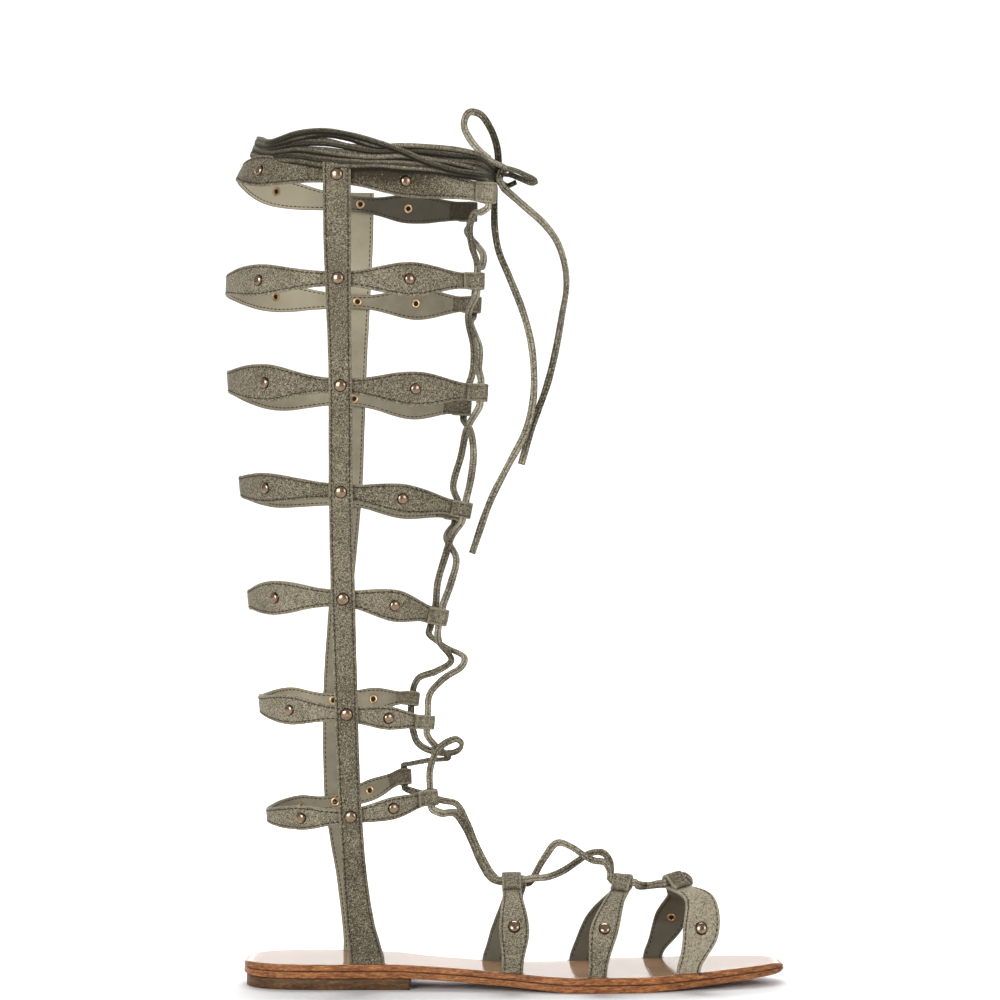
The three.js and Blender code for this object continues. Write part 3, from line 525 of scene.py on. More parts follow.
# ---- thongs
def thong_mesh(points, seed, width=LACE_W, thick=LACE_T, roll=0.0, twist=0.9, flat_up=None,
               groove=0.5, crown=0.0, tone=0.0, painted_under_shade=0.0):
    """A flat suede thong along resampled points: vertices, faces, centre line."""
    line = curve_points(points, 1.1)
    section, dark = [], []
    corner = thick * 0.44
    for base, sx, sy in ((0, 1, 1), (90, -1, 1), (180, -1, -1), (270, 1, -1)):
        for k in range(4):
            a = math.radians(base + 30 * k)
            section.append((sx * (width / 2 - corner) + corner * math.cos(a),
                            sy * (thick / 2 - corner) + corner * math.sin(a)))
            dark.append(0.0)
        # Painted shade along the bottom of the groove.
        if groove and base in (0, 180):
            section += [(0.42 * sx, sy * thick / 2), (0.1 * sx, sy * (thick / 2 - groove)),
                        (-0.1 * sx, sy * (thick / 2 - groove)), (-0.42 * sx, sy * thick / 2)]
            dark += [0.0, 0.65, 0.65, 0.0]
    # Painted shade: the edges of the thong darker, the lower edge most, and the lower half darker
    # still for the wrap.
    for k, (x, y) in enumerate(section):
        low = 1.0 if x < 0 else 0.75
        dark[k] += crown * low * max(0.0, abs(x) / (width / 2) - 0.42) / 0.58
        dark[k] += painted_under_shade * max(0.0, 0.2 - x / (width / 2)) / 1.2
    vertices = []
    side = None
    for i, p in enumerate(line):
        forward = heading(line, i)
        if side is None:
            hint = Vector(flat_up) if flat_up else Vector((0, 0, 1))
            if abs(hint.dot(forward)) > 0.9:
                hint = Vector((1, 0, 0))
            side = (hint - forward * hint.dot(forward)).normalized()
        side = (side - forward * side.dot(forward)).normalized()
        up = forward.cross(side)
        s = i * 1.1
        turn = roll + twist * noise.noise(Vector((s * 0.022, seed * 7.3, 0.5)))
        wide = 1 + 0.10 * noise.noise(Vector((s * 0.09, seed * 3.1, 4.0)))
        fat = 1 + 0.16 * noise.noise(Vector((s * 0.07, seed * 5.7, 9.0)))
        ca, sa = math.cos(turn), math.sin(turn)
        for x, y in section:
            x, y = x * wide, y * fat
            vertices.append(p + side * (x * ca - y * sa) + up * (x * sa + y * ca))
    steps = tone if isinstance(tone, tuple) else (tone, tone)
    stops = [(i / (len(steps) - 1), value) for i, value in enumerate(steps)]
    tones = []
    for i in range(len(line)):
        tones += [read_flat(stops, 1, i / (len(line) - 1))] * len(section)
    return vertices, tube_faces(len(line), len(section)), line, dark * len(line), tones


def thong(name, points, seed, replaces=(), **options):
    vertices, faces, line, dark, tones = thong_mesh(points, seed, **options)
    return piece(name, vertices, faces, [LACE_SUEDE], replaces,
                 attributes={"shade": dark, "tone": tones}), line


def thongs(name, many, replaces=(), material=None):
    """Several thongs in one joined mesh."""
    vertices, faces, shade, tone = [], [], [], []
    for points, seed, options in many:
        v, f, _, dark, tones = thong_mesh(points, seed, **options)
        faces += [tuple(i + len(vertices) for i in face) for face in f]
        vertices += v
        shade += dark
        tone += tones
    return piece(name, vertices, faces, [material or LACE_SUEDE], replaces,
                 attributes={"shade": shade, "tone": tone})


# ---- cords
# cord_tone is painted light and shade along each cord, its limbs lighter or darker; the edges get
# painted shade.
for cord_name, cord_points, cord_seed, cord_end, cord_roll, cord_wide, cord_thick, cord_tone in (
        ("lace_bow_tall", BOW_TALL, 1, "object", 1.5, LACE_W, LACE_T, (-1.4, -1, 0.6, 1.6, 1.6)),
        ("lace_bow_short", BOW_SHORT, 2, "object", 0.1, 2.9, 2.4, (1.2, 0.8, 0.4, -1, -1)),
        ("lace_end_long", END_LONG, 3, "bare", 0, LACE_W, LACE_T, (-0.8, 0.3, 0.8, 0.8, 0.3)),
        ("lace_end_short", END_SHORT, 4, "bare", 0, LACE_W, LACE_T, (1.2, 1, 0.5, -0.4, 0.4))):
    cord, cord_line = thong(cord_name, cord_points, cord_seed, (cord_name,),
                            twist=1.3 if cord_end == "bare" else 0.25, roll=cord_roll,
                            width=cord_wide, thick=cord_thick, crown=0.7, tone=cord_tone,
                            flat_up=(1, 0, 0.2) if cord_end == "bare" else (0, 1, 0))


# ---- strips
def strip(name, stations, thick, replaces, tone=0.0):
    """A suede strip with lining inside, rounded edges and a pinched stitch line."""
    vertices, edge, seam, shade, glow, tones = [], [], [], [], [], []
    count = None
    for s in stations:
        half = s["width"] / 2
        half += 0.14 * noise.noise(s["at"] * 0.11 + Vector((0, 0, 50)))
        t = thick / 2
        cols = [half - 0.3, half - 0.8, half - STITCH_IN, half - 2.0, half * 0.36]
        outer = [(-c, t) for c in cols] + [(c, t) for c in reversed(cols)]
        pinch = {2: 0.16, 7: 0.16, 1: 0.02, 8: 0.02, 0: 0.14, 9: 0.14}
        ring = []
        for j, (v, n) in enumerate(outer):
            ring.append((v, n - pinch.get(j, 0) + (0.05 if j in (4, 5) else 0)))
        ring += [(half, t * 0.45), (half + 0.02, 0), (half, -t * 0.45)]
        ring += [(v, -n + pinch.get(j, 0) * 0.6) for j, (v, n) in
                 enumerate(reversed(outer))]
        ring += [(-half, -t * 0.45), (-half - 0.02, 0), (-half, t * 0.45)]
        count = len(ring)
        for j, (v, n) in enumerate(ring):
            p = s["at"] + s["across"] * v + s["out"] * n
            ripple = 0.10 * noise.noise(p * 0.16) + 0.05 * noise.noise(p * 0.7)
            vertices.append(p + s["out"] * ripple)
            near_edge = max(0.0, 1 - (half - abs(v)) / 0.7)
            edge.append(near_edge * s.get("rim", 1.0))
            seam.append(max(0.0, 1 - abs(half - abs(v) - STITCH_IN) / 0.5) * 0.8)
            # Painted shade on the lining side, and painted light where glow is set.
            shade.append(s.get("shade", 0.0) if n < 0 else 0.0)
            glow.append(s.get("glow", 0.0))
            # Painted shadow of the lace wrap: darker towards the upper edge.
            high = s.get("upper", 0.0) * max(0.0, 0.45 + 0.55 * v / half)
            # Painted light and shade along the strip, besides a little random tone.
            tones.append(tone + s.get("tone", 0.0) - high + 0.25 * noise.noise(p * 0.035))
    faces = tube_faces(len(stations), count)
    lining = []
    for face in faces[:-2]:
        i, j = divmod(face[0], count)
        lining.append(1 if 13 <= j < 22 and not stations[i].get("fold") else 0)
    lining += [0, 0]
    return piece(name, vertices, faces, [SUEDE, LINING], replaces,
                 face_materials=lining,
                 attributes={"edge": edge, "seam": seam, "shade": shade, "glow": glow,
                             "tone": tones})


def stitch(vertices, faces, at, forward, out):
    """One thread stitch: a low rounded bar."""
    side = out.cross(forward).normalized()
    base = len(vertices)
    for a, s in ((-0.5, 0.35), (-0.32, 1.0), (0.32, 1.0), (0.5, 0.35)):
        for ang in (0, 60, 120, 180, 240, 300):
            c, d = math.cos(math.radians(ang)), math.sin(math.radians(ang))
            vertices.append(at + forward * (a * STITCH_LONG) + side * (c * STITCH_WIDE / 2 * s)
                            + out * (d * STITCH_TALL * s))
    faces += tube_faces(4, 6, base=base)


def stitching(name, runs):
    """Rows of stitches along both edges of strips, on both faces."""
    vertices, faces = [], []
    for stations, thick in runs:
        walked = 0.0
        due = STITCH_PITCH * 0.5
        for a, b in zip(stations, stations[1:]):
            span = (b["at"] - a["at"]).length
            while due <= walked + span:
                t = (due - walked) / span
                at = a["at"].lerp(b["at"], t)
                across = a["across"].lerp(b["across"], t).normalized()
                out = a["out"].lerp(b["out"], t).normalized()
                inset = (a["width"] * (1 - t) + b["width"] * t) / 2 - STITCH_IN
                slope = (b["width"] - a["width"]) / 2 / span
                for sign in (-1, 1):
                    forward = ((b["at"] - a["at"]).normalized()
                               + across * (sign * slope)).normalized()
                    jitter = 0.08 * noise.noise(at * 1.7 + across * sign)
                    spot = at + across * (sign * (inset + jitter))
                    for face in (1, -1):
                        stitch(vertices, faces, spot + out * (face * (thick / 2 - 0.14)),
                               forward, out * face)
                due += STITCH_PITCH
            walked += span
    return piece(name, vertices, faces, [THREAD])


def folded_end(last, thick, shade=0.12, tone=0.0):
    """The strip's end carried round a loop and back along its outside."""
    forward, out = last["forward"], last["out"]
    centre = last["at"] + out * LOOP_R
    # shade is painted shade on the face the fold turns outward; tone makes the fold lighter or
    # darker as painted light and shade.
    last = {**last, "fold": True, "shade": shade, "rim": 2.2,
            "tone": last.get("tone", 0.0) + tone}
    stations = []
    for i in range(1, 13):
        turn = math.pi * 1.08 * i / 12
        radial = out * -math.cos(turn) + forward * math.sin(turn)
        stations.append({**last, "at": centre + radial * LOOP_R, "out": -radial})
    rest = thick + GAP
    start = stations[-1]["at"]
    meet = last["at"] - forward * (FLAP * 0.5) + out * (rest + 0.1)
    tip = last["at"] - forward * (FLAP - LOOP_R + 0.6) + out * (rest + 0.05)
    for i in range(1, 10):
        t = i / 9
        p = start.lerp(meet, min(1, t * 2)) if t <= 0.5 else meet.lerp(tip, (t - 0.5) * 2)
        lean = (-out - forward * 0.22 * max(0, 1 - t * 1.6)).normalized()
        stations.append({**last, "at": p, "out": lean, "width": last["width"] * (1 - 0.05 * t)})
    return stations


def domes(name, spots, washers, replaces=()):
    """Rivet domes on the outside and ring washers inside, in one mesh."""
    vertices, faces, materials, rim = [], [], [], []
    # The third number of each profile row is painted dark reflection and shade, read by the metal's
    # rim.
    dome = [(1.16, -0.16, 1), (1.04, -0.06, 1), (0.99, 0.06, 1), (0.97, 0.24, 0.8),
            (0.91, 0.46, 0.35), (0.80, 0.66, 0), (0.62, 0.84, 0), (0.4, 0.95, 0), (0.14, 1.0, 0)]
    ring = [(1.0, -0.3, 0.6), (1.04, 0.15, 0.2), (0.94, 0.42, 0), (0.7, 0.46, 0),
            (0.5, 0.25, 0.5), (0.44, -0.1, 1)]
    sides = 28

    def lathe(profile, at, out, radius, rise, index, cap):
        axis = Vector((0, 0, 1)) if abs(out.z) < 0.9 else Vector((1, 0, 0))
        u = (axis - out * axis.dot(out)).normalized()
        v = out.cross(u)
        base = len(vertices)
        for r, h, dark in profile:
            for k in range(sides):
                a = 2 * math.pi * k / sides
                ray = u * math.cos(a) + v * math.sin(a)
                rim.append(dark)
                vertices.append(at + ray * (r * radius) + out * (h * rise))
        new = tube_faces(len(profile), sides, base=base)
        new = new[:-2] + ([new[-1]] if cap else [])
        faces.extend(new)
        materials.extend([index] * len(new))

    for at, out, radius in spots:
        lathe(dome, at, out, radius, STUD_RISE, 0, True)
    for at, out in washers:
        lathe(ring, at, out, WASHER_R, 0.9, 1, False)
        # A dark disc in the washer's hole: painted shade of the hollow.
        lathe([(0.5, 0.0, 0), (0.46, 0.08, 0), (0.2, 0.05, 0)], at, out, WASHER_R, 0.9, 2, True)
    return piece(name, vertices, faces, [ROSE, BRASS, HOLLOW_PAINTED_SHADE], replaces,
                 face_materials=materials, attributes={"rim": rim})


# ---- leg and bands
def leg_point(side, place, z, out=0.0):
    stay = read(LEG, 0, 1 if side == "lateral" else 2, z)
    half = read(LEG, 0, 3, z)
    back = read(LEG, 0, 4, z)
    front = read(LEG, 0, 5 if side == "lateral" else 6, z)
    sign = -1 if side == "lateral" else 1
    reach = (front - stay) / math.sin(FRONT_TURN)

    def at(p):
        if p <= 1:
            a = math.pi / 2 * p
            return Vector((stay - (stay - back) * math.cos(a), half * math.sin(a)))
        a = FRONT_TURN * (p - 1)
        return Vector((stay + reach * math.sin(a), half * math.cos(a)))

    here = at(place)
    along = (at(place + 0.01) - at(place - 0.01)).normalized()
    return Vector((here.x, sign * here.y, z)) + Vector((-along.y, sign * along.x, 0)) * out


def band_width(row, place):
    table = [(0, row["back"]), (0.16, row["back"]), (row["rear_at"], row["rear"]),
             (0.88, row["neck"]), (1.1, row["neck"]), (row["front_at"], row["front"]),
             (1.84, row["end"]), (2, row["end"])]
    return read(table, 0, 1, place)


def band_height(row, side, place):
    table = [(0, row["b"]), (1, row["l" if side == "lateral" else "m"]),
             (2, row["fl" if side == "lateral" else "fm"])]
    return read(table, 0, 1, place)


def band_station(row, side, place):
    z = band_height(row, side, place)
    ahead, behind = min(2, place + 0.02), max(0, place - 0.02)
    forward = (leg_point(side, place + 0.02, band_height(row, side, ahead))
               - leg_point(side, place - 0.02, band_height(row, side, behind))).normalized()
    rise = (leg_point(side, place, z + 4) - leg_point(side, place, z - 4)).normalized()
    across = (rise - forward * rise.dot(forward)).normalized()
    out = forward.cross(across)
    if side == "medial":
        out.negate()
    return {"at": leg_point(side, place, z), "across": across, "out": out,
            "forward": forward, "width": band_width(row, place)}


def band_run(row, side):
    count = 74
    run = [band_station(row, side, 2 * i / count) for i in range(1, count + 1)]
    for i, s in enumerate(run):
        place = 2 * (i + 1) / count
        s["fold"] = place > 1.8
        # Painted shade on the lining, more from the stay forward; painted light towards the front
        # end; painted shadow of the lace wrap on the front leaf; painted light on the rear lining.
        s["shade"] = max(row.get("shade", 0.35) * unit((place - 0.75) / 0.3),
                         row.get("rear_shade", 0.0))
        s["tone"] = row.get("pale_end", 0.0) * unit((place - 1.55) / 0.3)
        s["upper"] = (row.get("upper", 0.0) * unit((place - 0.95) / 0.12)
                      * unit((1.62 - place) / 0.3))
        s["glow"] = row.get("rear_glow", 0.0) * unit((0.95 - place) / 0.3)
    return run


def build_band(row):
    lateral, medial = band_run(row, "lateral"), band_run(row, "medial")
    rear = band_station(row, "lateral", 0.001)
    rear["at"] = leg_point("lateral", 0, row["b"])
    # The medial fold carries the lining's painted shade, the lateral fold a little painted shade.
    folds = [folded_end(lateral[-1], BAND_THICK),
             folded_end(medial[-1], BAND_THICK, medial[-1]["shade"])]
    stations = list(reversed(lateral + folds[0])) + [rear] + medial + folds[1]
    strip(row["node"], stations, BAND_THICK, (row["node"],), row.get("tone", 0.0))
    plain = list(reversed(lateral[:-6])) + [rear] + medial[:-6]
    stitching(row["node"] + "_stitching", [(plain, BAND_THICK)])


def dome_on(s, reach, radius):
    return s["at"] + s["out"] * (reach + 0.12), s["out"], radius


def washer_on(s, thick):
    return s["at"] - s["out"] * (thick / 2), -s["out"]


def build_studs(index, row):
    spots, washers = [], []
    nodes = []
    for side in ("lateral", "medial"):
        for place in (row["rear_at"], row["front_at"]):
            s = band_station(row, side, place)
            spots.append(dome_on(s, BAND_THICK / 2, STUD_R * 0.9))
            washers.append(washer_on(s, BAND_THICK))
        s = band_station(row, side, 1)
        reach = BAND_THICK / 2 + GAP + 0.15 + STAY_THICK
        spots.append(dome_on(s, reach, STUD_R))
        washers.append(washer_on(s, BAND_THICK))
        nodes.append(f"rivet_{index + 1}_{side}")
    domes(f"studs_{row['node']}", spots, washers, nodes)


for band_index, band_row in enumerate(BANDS):
    build_band(band_row)
    build_studs(band_index, band_row)


# ---- stays
def build_stay(side):
    sign = -1 if side == "lateral" else 1
    reach = BAND_THICK / 2 + GAP + STAY_THICK / 2 + 0.15
    rows = [Vector(p) for p in STAY_FEET[side]]
    rows += [leg_point(side, 1, z, reach) for z in
             (66, 82, 98, 115, 131, 148, 165, 182, 198, 215, 232, 248, 265, 281, 297, 313,
              330, 346, 362, 376, STAY_TOP)]
    line = curve_points(rows, 1.6)
    stations = []
    for i, p in enumerate(line):
        forward = heading(line, i)
        across = forward.cross(Vector((0, sign, 0))).normalized()
        # Painted shade on the lining, darker towards the bottom; painted light near the top;
        # painted light and shade on the suede by height.
        stations.append({"at": p, "across": across, "out": across.cross(forward).normalized(),
                         "forward": forward, "width": read(STAY_WIDTH, 0, 1, p.z),
                         "shade": read_flat([(0, 0.4), (150, 0.34), (260, 0.2), (340, 0)], 1, p.z),
                         "glow": read_flat([(0, 0), (290, 0), (330, 0.25), (384, 0.3)], 1, p.z),
                         "tone": read_flat(STAY_PAINTED_SHADING, 1, p.z)})
    strip(f"side_stay_{side}", stations, STAY_THICK, (f"side_stay_{side}",), 0.2)
    stitching(f"side_stay_{side}_stitching", [(stations[3:], STAY_THICK)])
    return stations[0]


# ---- foot straps
def footbed(x):
    return read_flat(PROFILE, 1, x)


def underside(x):
    return read_flat(PROFILE, 2, x)


def layer_at(x):
    """Height at which the insole lies on the outsole."""
    return (footbed(x) + underside(x)) / 2


def foot_run(row):
    x, y = row["base"]
    end = Vector(row["end"])
    mid = Vector(row["mid"])
    path = curve_points([
        (x, y, layer_at(x) + GAP * 1.6), (x, y, footbed(x) + 1.6), mid,
        row["shoulder"], end], 1.2)
    base, belly, shoulder, top = row["w"]
    table = [(0, base), (0.16, base), (0.42, belly), (0.76, shoulder), (1, top)]
    sign = -1 if mid.y < 0 else 1
    stations = []
    for i, p in enumerate(path):
        forward = heading(path, i)
        across = (Vector((1, 0, 0)) - forward * forward.x).normalized()
        # Painted shade on the lining of each strap.
        stations.append({"at": p, "across": across, "out": forward.cross(across) * sign,
                         "forward": forward, "width": read(table, 0, 1, i / (len(path) - 1)),
                         "shade": row.get("shade", 0.9)})
    return stations


def build_foot_strap(row):
    run = foot_run(row)
    # The fold gets a little painted shade, and on strap 3 a painted darker fold.
    fold = folded_end(run[-1], FOOT_THICK, 0.12, row.get("fold_painted_shade", 0.0))
    strip(row["node"], run + fold, FOOT_THICK, (row["node"],),
          row.get("tone", 0.0))
    stitching(row["node"] + "_stitching", [(run[3:-8], FOOT_THICK)])
    s = run[round(0.42 * len(run))]
    domes(row["node"] + "_stud", [dome_on(s, FOOT_THICK / 2, STUD_R * 0.95)],
          [washer_on(s, FOOT_THICK)])
    return run[0]


strap_feet = [(build_stay(side), STAY_THICK) for side in ("lateral", "medial")]
strap_feet += [(build_foot_strap(row), FOOT_THICK) for row in FOOT_STRAPS]


# ---- sole
def outline_chain(count, column, from_x, to_x):
    chain = []
    for i in range(count + 1):
        t = i / count
        x = from_x + (to_x - from_x) * (0.35 * t + 0.65 * (1 - math.cos(math.pi * t)) / 2)
        chain.append(Vector((x, read(OUTLINE, 0, column, x), 0)))
    return chain


def sole_layer(node, material, top, bottom, inset, levels, from_x=SOLE_BACK,
               to_x=SOLE_TIP, top_material=None):
    """A layer of the sole: rings stacked from the underside to the top."""
    count = 150
    lateral = outline_chain(count, 1, from_x, to_x)
    medial = outline_chain(count, 2, from_x, to_x)
    loop = lateral + list(reversed(medial))
    size = len(loop)
    normals = []
    for i in range(size):
        a, b = loop[i - 1], loop[(i + 1) % size]
        d = (b - a).normalized()
        normals.append(Vector((-d.y, d.x, 0)))
    vertices, seam = [], []
    for rise, pull, dark in levels:
        for p, n in zip(loop, normals):
            q = p + n * (inset + pull)
            low, high = bottom(p.x), top(p.x)
            z = low + rise if rise >= 0 else high + rise
            if rise == AT_TOP:
                z = high
            q.z = z
            vertices.append(q)
            seam.append(dark)
    faces, indices = [], []
    for level in range(len(levels) - 1):
        for i in range(size):
            k = (i + 1) % size
            faces.append((level * size + i, level * size + k,
                          (level + 1) * size + k, (level + 1) * size + i))
            indices.append(0)

    def cap(level, flip, index):
        columns = 10
        base = level * size
        grid = []
        for i in range(count + 1):
            a, b = base + i, base + size - 1 - i
            row = [a]
            for c in range(1, columns):
                q = vertices[a].lerp(vertices[b], c / columns)
                row.append(len(vertices))
                vertices.append(q)
                seam.append(0)
            row.append(b)
            grid.append(row)
        for r, s in zip(grid, grid[1:]):
            for c in range(columns):
                f = (r[c], s[c], s[c + 1], r[c + 1])
                faces.append(tuple(reversed(f)) if flip else f)
                indices.append(index)

    cap(0, True, 0)
    cap(len(levels) - 1, False, 1 if top_material else 0)
    materials = [material] + ([top_material] if top_material else [])
    return piece(node, vertices, faces, materials, (node,), face_materials=indices,
                 attributes={"seam": seam})


ROUND = [(0.0, 0.9, 0), (0.0, 0.45, 0.1), (0.18, 0.14, 0), (0.5, 0.0, 0)]
sole_layer("outsole", SOLE, lambda x: layer_at(x) - 0.02, underside, 0,
           ROUND + [(-0.55, 0.0, 0), (-0.25, 0.06, 0.5), (AT_TOP, 0.35, 1.0), (AT_TOP, 1.2, 1.0)])
sole_layer("insole", SOLE, footbed,
           lambda x: layer_at(x) + 0.02, 0.1,
           [(0.0, 1.2, 1.0), (0.0, 0.3, 1.0), (0.28, 0.05, 0.4), (0.6, 0, 0), (-0.6, 0.0, 0),
            (-0.28, 0.1, 0), (-0.08, 0.32, 0), (AT_TOP, 0.7, 0), (AT_TOP, 1.3, 0)],
           top_material=INSOLE)
sole_layer("heel_lift", LIFT, lambda x: underside(x) - 0.05,
           lambda x: 0.0, 0.7,
           [(0.0, 0.7, 0.6), (0.12, 0.2, 0.3), (0.4, 0.0, 0), (-0.5, 0.0, 0), (-0.15, 0.1, 0.7),
            (AT_TOP, 0.5, 1)], from_x=-38.4, to_x=40)


def strap_slots():
    """Dark lips of the cut slots where the straps enter the insole: cut leather, partly painted
    shade round the strap feet.
    """
    vertices, faces = [], []
    for foot, thick in strap_feet:
        p = foot["at"]
        across = foot["across"]
        across = Vector((across.x, across.y, 0)).normalized()
        out = Vector((-across.y, across.x, 0))
        base = len(vertices)
        a, b = foot["width"] / 2 + 0.5, thick / 2 + 0.45
        ring = []
        for k in range(40):
            t = 2 * math.pi * k / 40
            c, s = math.cos(t), math.sin(t)
            ring.append((math.copysign(abs(c) ** 0.25, c) * a, math.copysign(abs(s) ** 0.4, s) * b))
        for grow, lift in ((-0.4, -1.4), (0.0, 0.02), (0.22, 0.10), (0.5, -0.03)):
            for u, v in ring:
                q = p + across * (u * (1 + grow / a)) + out * (v * (1 + grow / b))
                q.z = footbed(q.x) + lift
                vertices.append(q)
        faces += tube_faces(4, 40, base=base)[:-2]
    piece("strap_slots", vertices, faces, [LIFT])


strap_slots()


# ---- lacing
def band_eye(row, side):
    last = band_station(row, side, 2)
    return last["at"] + last["out"] * LOOP_R, last["across"], row["end"] / 2


def foot_eye(row):
    last = foot_run(row)[-1]
    return last["at"] + last["out"] * LOOP_R, -last["across"], row["w"][3] / 2


EYES = [(band_eye(row, "lateral"), band_eye(row, "medial")) for row in BANDS]
EYES += [(foot_eye(FOOT_STRAPS[i]), foot_eye(FOOT_STRAPS[i + 1])) for i in (0, 2, 4)]


def strand(start, middle, finish):
    at, through, half = start
    to, into, other = finish
    return ([at, at - through * half, at - through * (half + 1.6)] + [Vector(p) for p in middle]
            + [to + into * (other + 1.6), to + into * other, to])


for gap_index, (down, up) in enumerate(LACING):
    above, below = EYES[gap_index], EYES[gap_index + 1]
    # tone along each strand is painted light and shade; its edges get painted shade.
    lie = dict(flat_up=(1, 0, 0) if gap_index < 6 else (0, 0, 1), twist=0.4, crown=0.5)
    many = [(strand(above[0], down, below[1]), 20 + gap_index,
             dict(lie, tone=(1.5, 0.9, -0.2, 0.3, 0.4, -0.5),
                  width=3.9 if gap_index == 6 else LACE_W)),
            (strand(above[1], up, below[0]), 40 + gap_index,
             dict(lie, tone=(-0.7, 0.3, 0.9, 0.2, 0.8)))]
    if gap_index == len(LACING) - 1:
        (lat, lt, lh), (med, mt, mh) = below
        many.append(([lat, lat - lt * lh, lat - lt * (lh + 2) + Vector((0, 2, 0.6)),
                      (lat + med) / 2 + Vector((7.4, 0, 1.2)),
                      med - mt * (mh + 2) + Vector((0, -2, 0.6)), med - mt * mh, med],
                     60, dict(flat_up=(0, 0, 1), crown=0.5, tone=0.6)))
    thongs(f"lace_crossing_{gap_index + 1}", many, (f"lace_crossing_{gap_index + 1}",))


def wrap_strand(row, index):
    """Once round the leg above the top band, from the knot to the knot."""
    def half_at(x):
        reach = WRAP_FRONT if x >= WRAP_MIDDLE else WRAP_BACK
        return WRAP_HALF * math.sqrt(max(0.0, 1 - ((x - WRAP_MIDDLE) / reach) ** 2))

    lane = index if index < 6 else (index - 6) * 2 + 0.7
    stand = WRAP_STAND[index]
    points = [Vector((79.2, 1.6, 386.4 - lane * 0.7)),
              Vector((76.6, -8 - stand * 0.4, row[-1] * 0.5 + (386.6 - lane) * 0.5))]
    for x, z in reversed(list(zip(WRAP_X, row))):
        points.append(Vector((x, -(half_at(x) + stand), z)))
    back = 401.1 - lane * 1.5
    rear = -33.6 - 0.55 * lane
    points.append(Vector((rear + 2, -17, back - 2.4)))
    points.append(Vector((rear, 0, back)))
    far = 396.6 - lane * 1.5
    points.append(Vector((rear + 4.2, 21.5, back - 0.8)))
    for x, k in ((-16, 0.3), (8, 0.55), (34, 0.9), (56, 1.0), (68, 1.0)):
        points.append(Vector((x, half_at(x) + stand * 0.7,
                              back + (far - back) * k + 0.9 * math.sin(x * 0.07 + index))))
    points.append(Vector((76.6, 11, 391.6 - lane * 1.1)))
    points.append(Vector((79.2, -1.6, 387 - lane * 0.75)))
    return points


# Painted light and shade along each wrap strand, and painted shade on its edges and lower half.
thongs("lace_wrap", [(wrap_strand(row, i), 80 + i,
                      dict(flat_up=(0, 0, 1), width=3.1 if i < 6 else 2.6, thick=2.6, twist=0.45,
                           groove=0.0 if i % 2 else 0.35, crown=0.5, painted_under_shade=1.25,
                           tone=(-0.6, 0.6, -0.4, WRAP_PAINTED_SHADING[i], WRAP_PAINTED_SHADING[i - 1], 0.2)))
                     for i, row in enumerate(WRAP)], ("lace_wrap",), WRAP_SUEDE)

KNOT = Vector((80.6, -3, 384.4))
FACE = Vector((0, -1, 0))


def hitch(axis, radius, stretch, shift):
    """Points of one turn of lace round the knot, about the given axis."""
    axis = Vector(axis).normalized()
    u = axis.cross(FACE).normalized()
    v = axis.cross(u)
    ring = []
    for k in range(10):
        a = 2 * math.pi * k / 9
        ring.append(KNOT + Vector(shift) + u * (math.cos(a) * radius)
                    + v * (math.sin(a) * radius * stretch) + axis * ((k / 9 - 0.5) * 1.6))
    return ring


# tone on each knot part is painted light and shade; the hitches get painted shade on their edges.
HITCH = dict(thick=1.8, twist=0.2, crown=0.8)
RUN = dict(flat_up=(0, 1, 0), twist=0.1)
knot_parts = [
    (hitch((1, 0, -0.5), 2.5, 0.9, (0.3, -0.4, -0.4)), 100,
     dict(HITCH, width=3.0, tone=0.6)),
    (hitch((0.25, 0, 1), 2.3, 0.9, (-0.8, 0.2, -1.6)), 101,
     dict(HITCH, width=2.8)),
    (hitch((1, 0.2, 0.6), 1.6, 1.0, (0.2, 0.6, 0.2)), 102,
     dict(HITCH, width=2.6)),
    # the lace running on from the tall loop, over the knot, into the short loop
    ([(76.4, -5.8, 391.2), (79.2, -7.6, 389.1), (82, -7.8, 387.9), (85, -5.6, 386.8),
      (87, -6.3, 386.2)], 103,
     dict(RUN, roll=0.9, width=3.0, crown=0.5, tone=1.2)),
    ([(80.9, -3.6, 390.4), (81.2, -4, 387), (81.2, -3.4, 382.6)], 104,
     dict(RUN, roll=1.5, tone=-1.4)),
    ([(80.6, -4.4, 384.2), (83.6, -5.6, 383.8), (86, -6.4, 383.4)], 105,
     dict(RUN, roll=0.1, tone=-1.2)),
    ([(80.6, -5.4, 382.6), (81.8, -4.8, 380.4), (83.3, -3.2, 377.8)], 106,
     dict(flat_up=(1, 0, 0.2), crown=0.5, tone=1.2)),
    ([(79.6, -3.2, 383), (78.8, -5.2, 380.4), (78.9, -5.6, 377.6)], 107,
     dict(flat_up=(1, 0, 0.2), tone=-1)),
    ([(81, 0.5, 382), (85, 0.6, 379.4), (89.4, -0.4, 381)], 108,
     dict(width=2.6, thick=1.8, tone=-0.9)),
    ([(82, 0, 385.4), (86.4, 0.6, 387.4), (88.6, 0.4, 386.2)], 109,
     dict(width=2.4, thick=1.8, tone=1.4)),
]
thongs("lace_knot", knot_parts, ("lace_knot",))


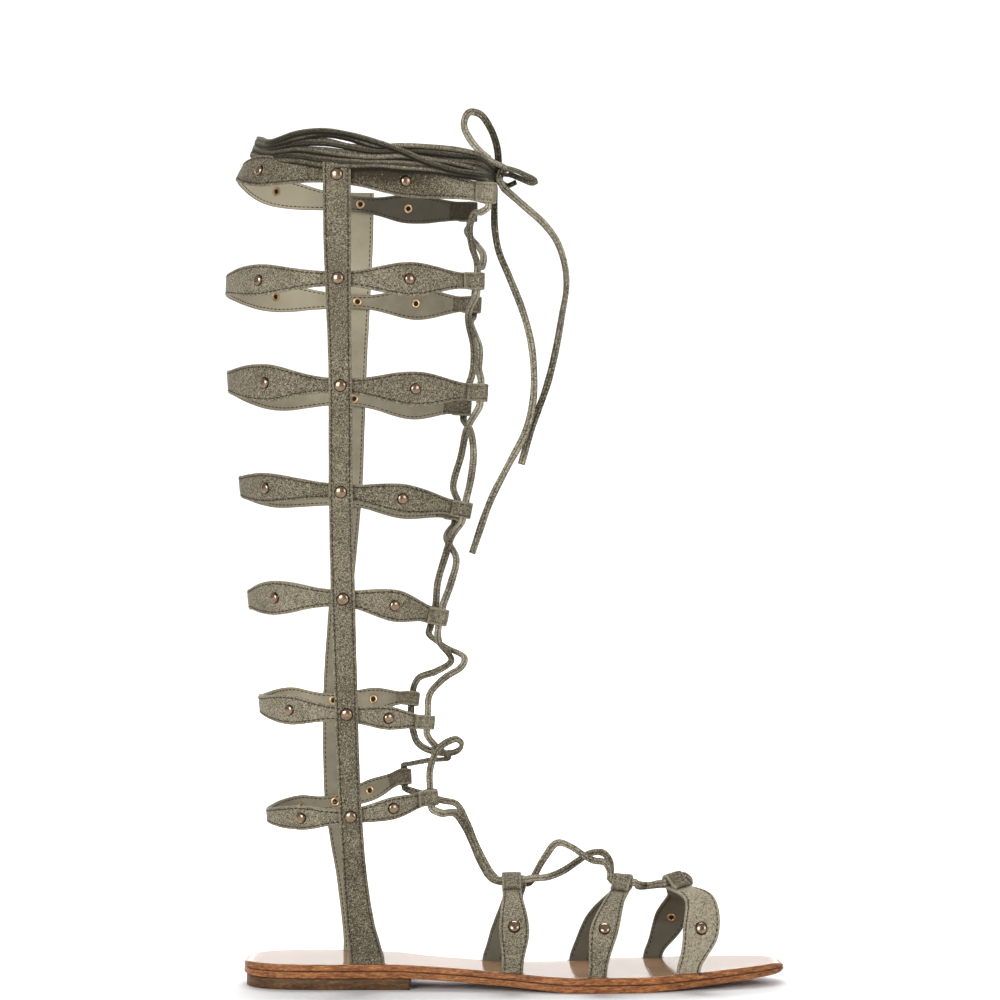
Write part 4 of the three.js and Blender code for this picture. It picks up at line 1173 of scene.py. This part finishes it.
# ---- stage and light
def make_stage():
    g = Graph("studio_floor")
    cloud = g.noise(3, 2, 0.5)
    paper = g.ramp(cloud, [(0.3, (0.69, 0.69, 0.69)), (0.7, (0.71, 0.71, 0.71))])
    g.set(Base_Color=g.mix(g.attribute("pale"), paper, (0.87, 0.87, 0.87)),
          Roughness=0.75, Specular_IOR_Level=0.2)
    rows = [(-2.4, 0.0, 0), (0.0, 0.0, 0), (0.4, 0.0, 0), (0.9, 0.0, 1), (1.2, 0.05, 1),
            (1.42, 0.18, 1), (1.55, 0.4, 1), (1.6, 0.8, 1), (1.6, 3.2, 1)]
    vertices, faces, pale = [], [], []
    for y, z, white in rows:
        for x in (-3.2, 3.2):
            vertices.append((x, y, z))
            pale.append(white)
    for i in range(len(rows) - 1):
        faces.append((2 * i, 2 * i + 1, 2 * i + 3, 2 * i + 2))
    mesh = bpy.data.meshes.new("studio_floor")
    mesh.from_pydata(vertices, [], faces)
    mesh.polygons.foreach_set("use_smooth", [True] * len(faces))
    mesh.attributes.new("pale", "FLOAT", "POINT").data.foreach_set("value", pale)
    mesh.materials.append(g.material)
    add_object("studio_floor", mesh)


def area(name, at, aim, size, power):
    data = bpy.data.lights.new(name, "AREA")
    data.shape = "RECTANGLE"
    data.size, data.size_y = size
    data.energy = power
    light = add_object(name, data)
    light.location = at
    light.rotation_euler = (Vector(aim) - Vector(at)).to_track_quat("-Z", "Y").to_euler()


make_stage()
area("key", (-0.9, -1.8, 0.72), (0.05, 0, 0.2), (1.1, 1.0), 29)
area("fill", (1.5, -1.3, 0.7), (0.05, 0, 0.2), (1.0, 1.0), 9)
area("top", (0.12, 0.75, 1.4), (0.08, 0, 0.1), (0.9, 0.6), 15)
area("low_back", (0.1, 1.3, 0.42), (0.09, 0, 0.0), (2.2, 0.35), 24)
area("back", (0.1, 0.7, 1.3), (0.1, 1.7, 0.6), (2.6, 1.2), 6)

world = bpy.data.worlds.new("studio")
world.use_nodes = True
world.node_tree.nodes["Background"].inputs["Color"].default_value = (1, 1, 1, 1)
world.node_tree.nodes["Background"].inputs["Strength"].default_value = 0.4
bpy.context.scene.world = world
bpy.context.scene.view_settings.view_transform = "Standard"
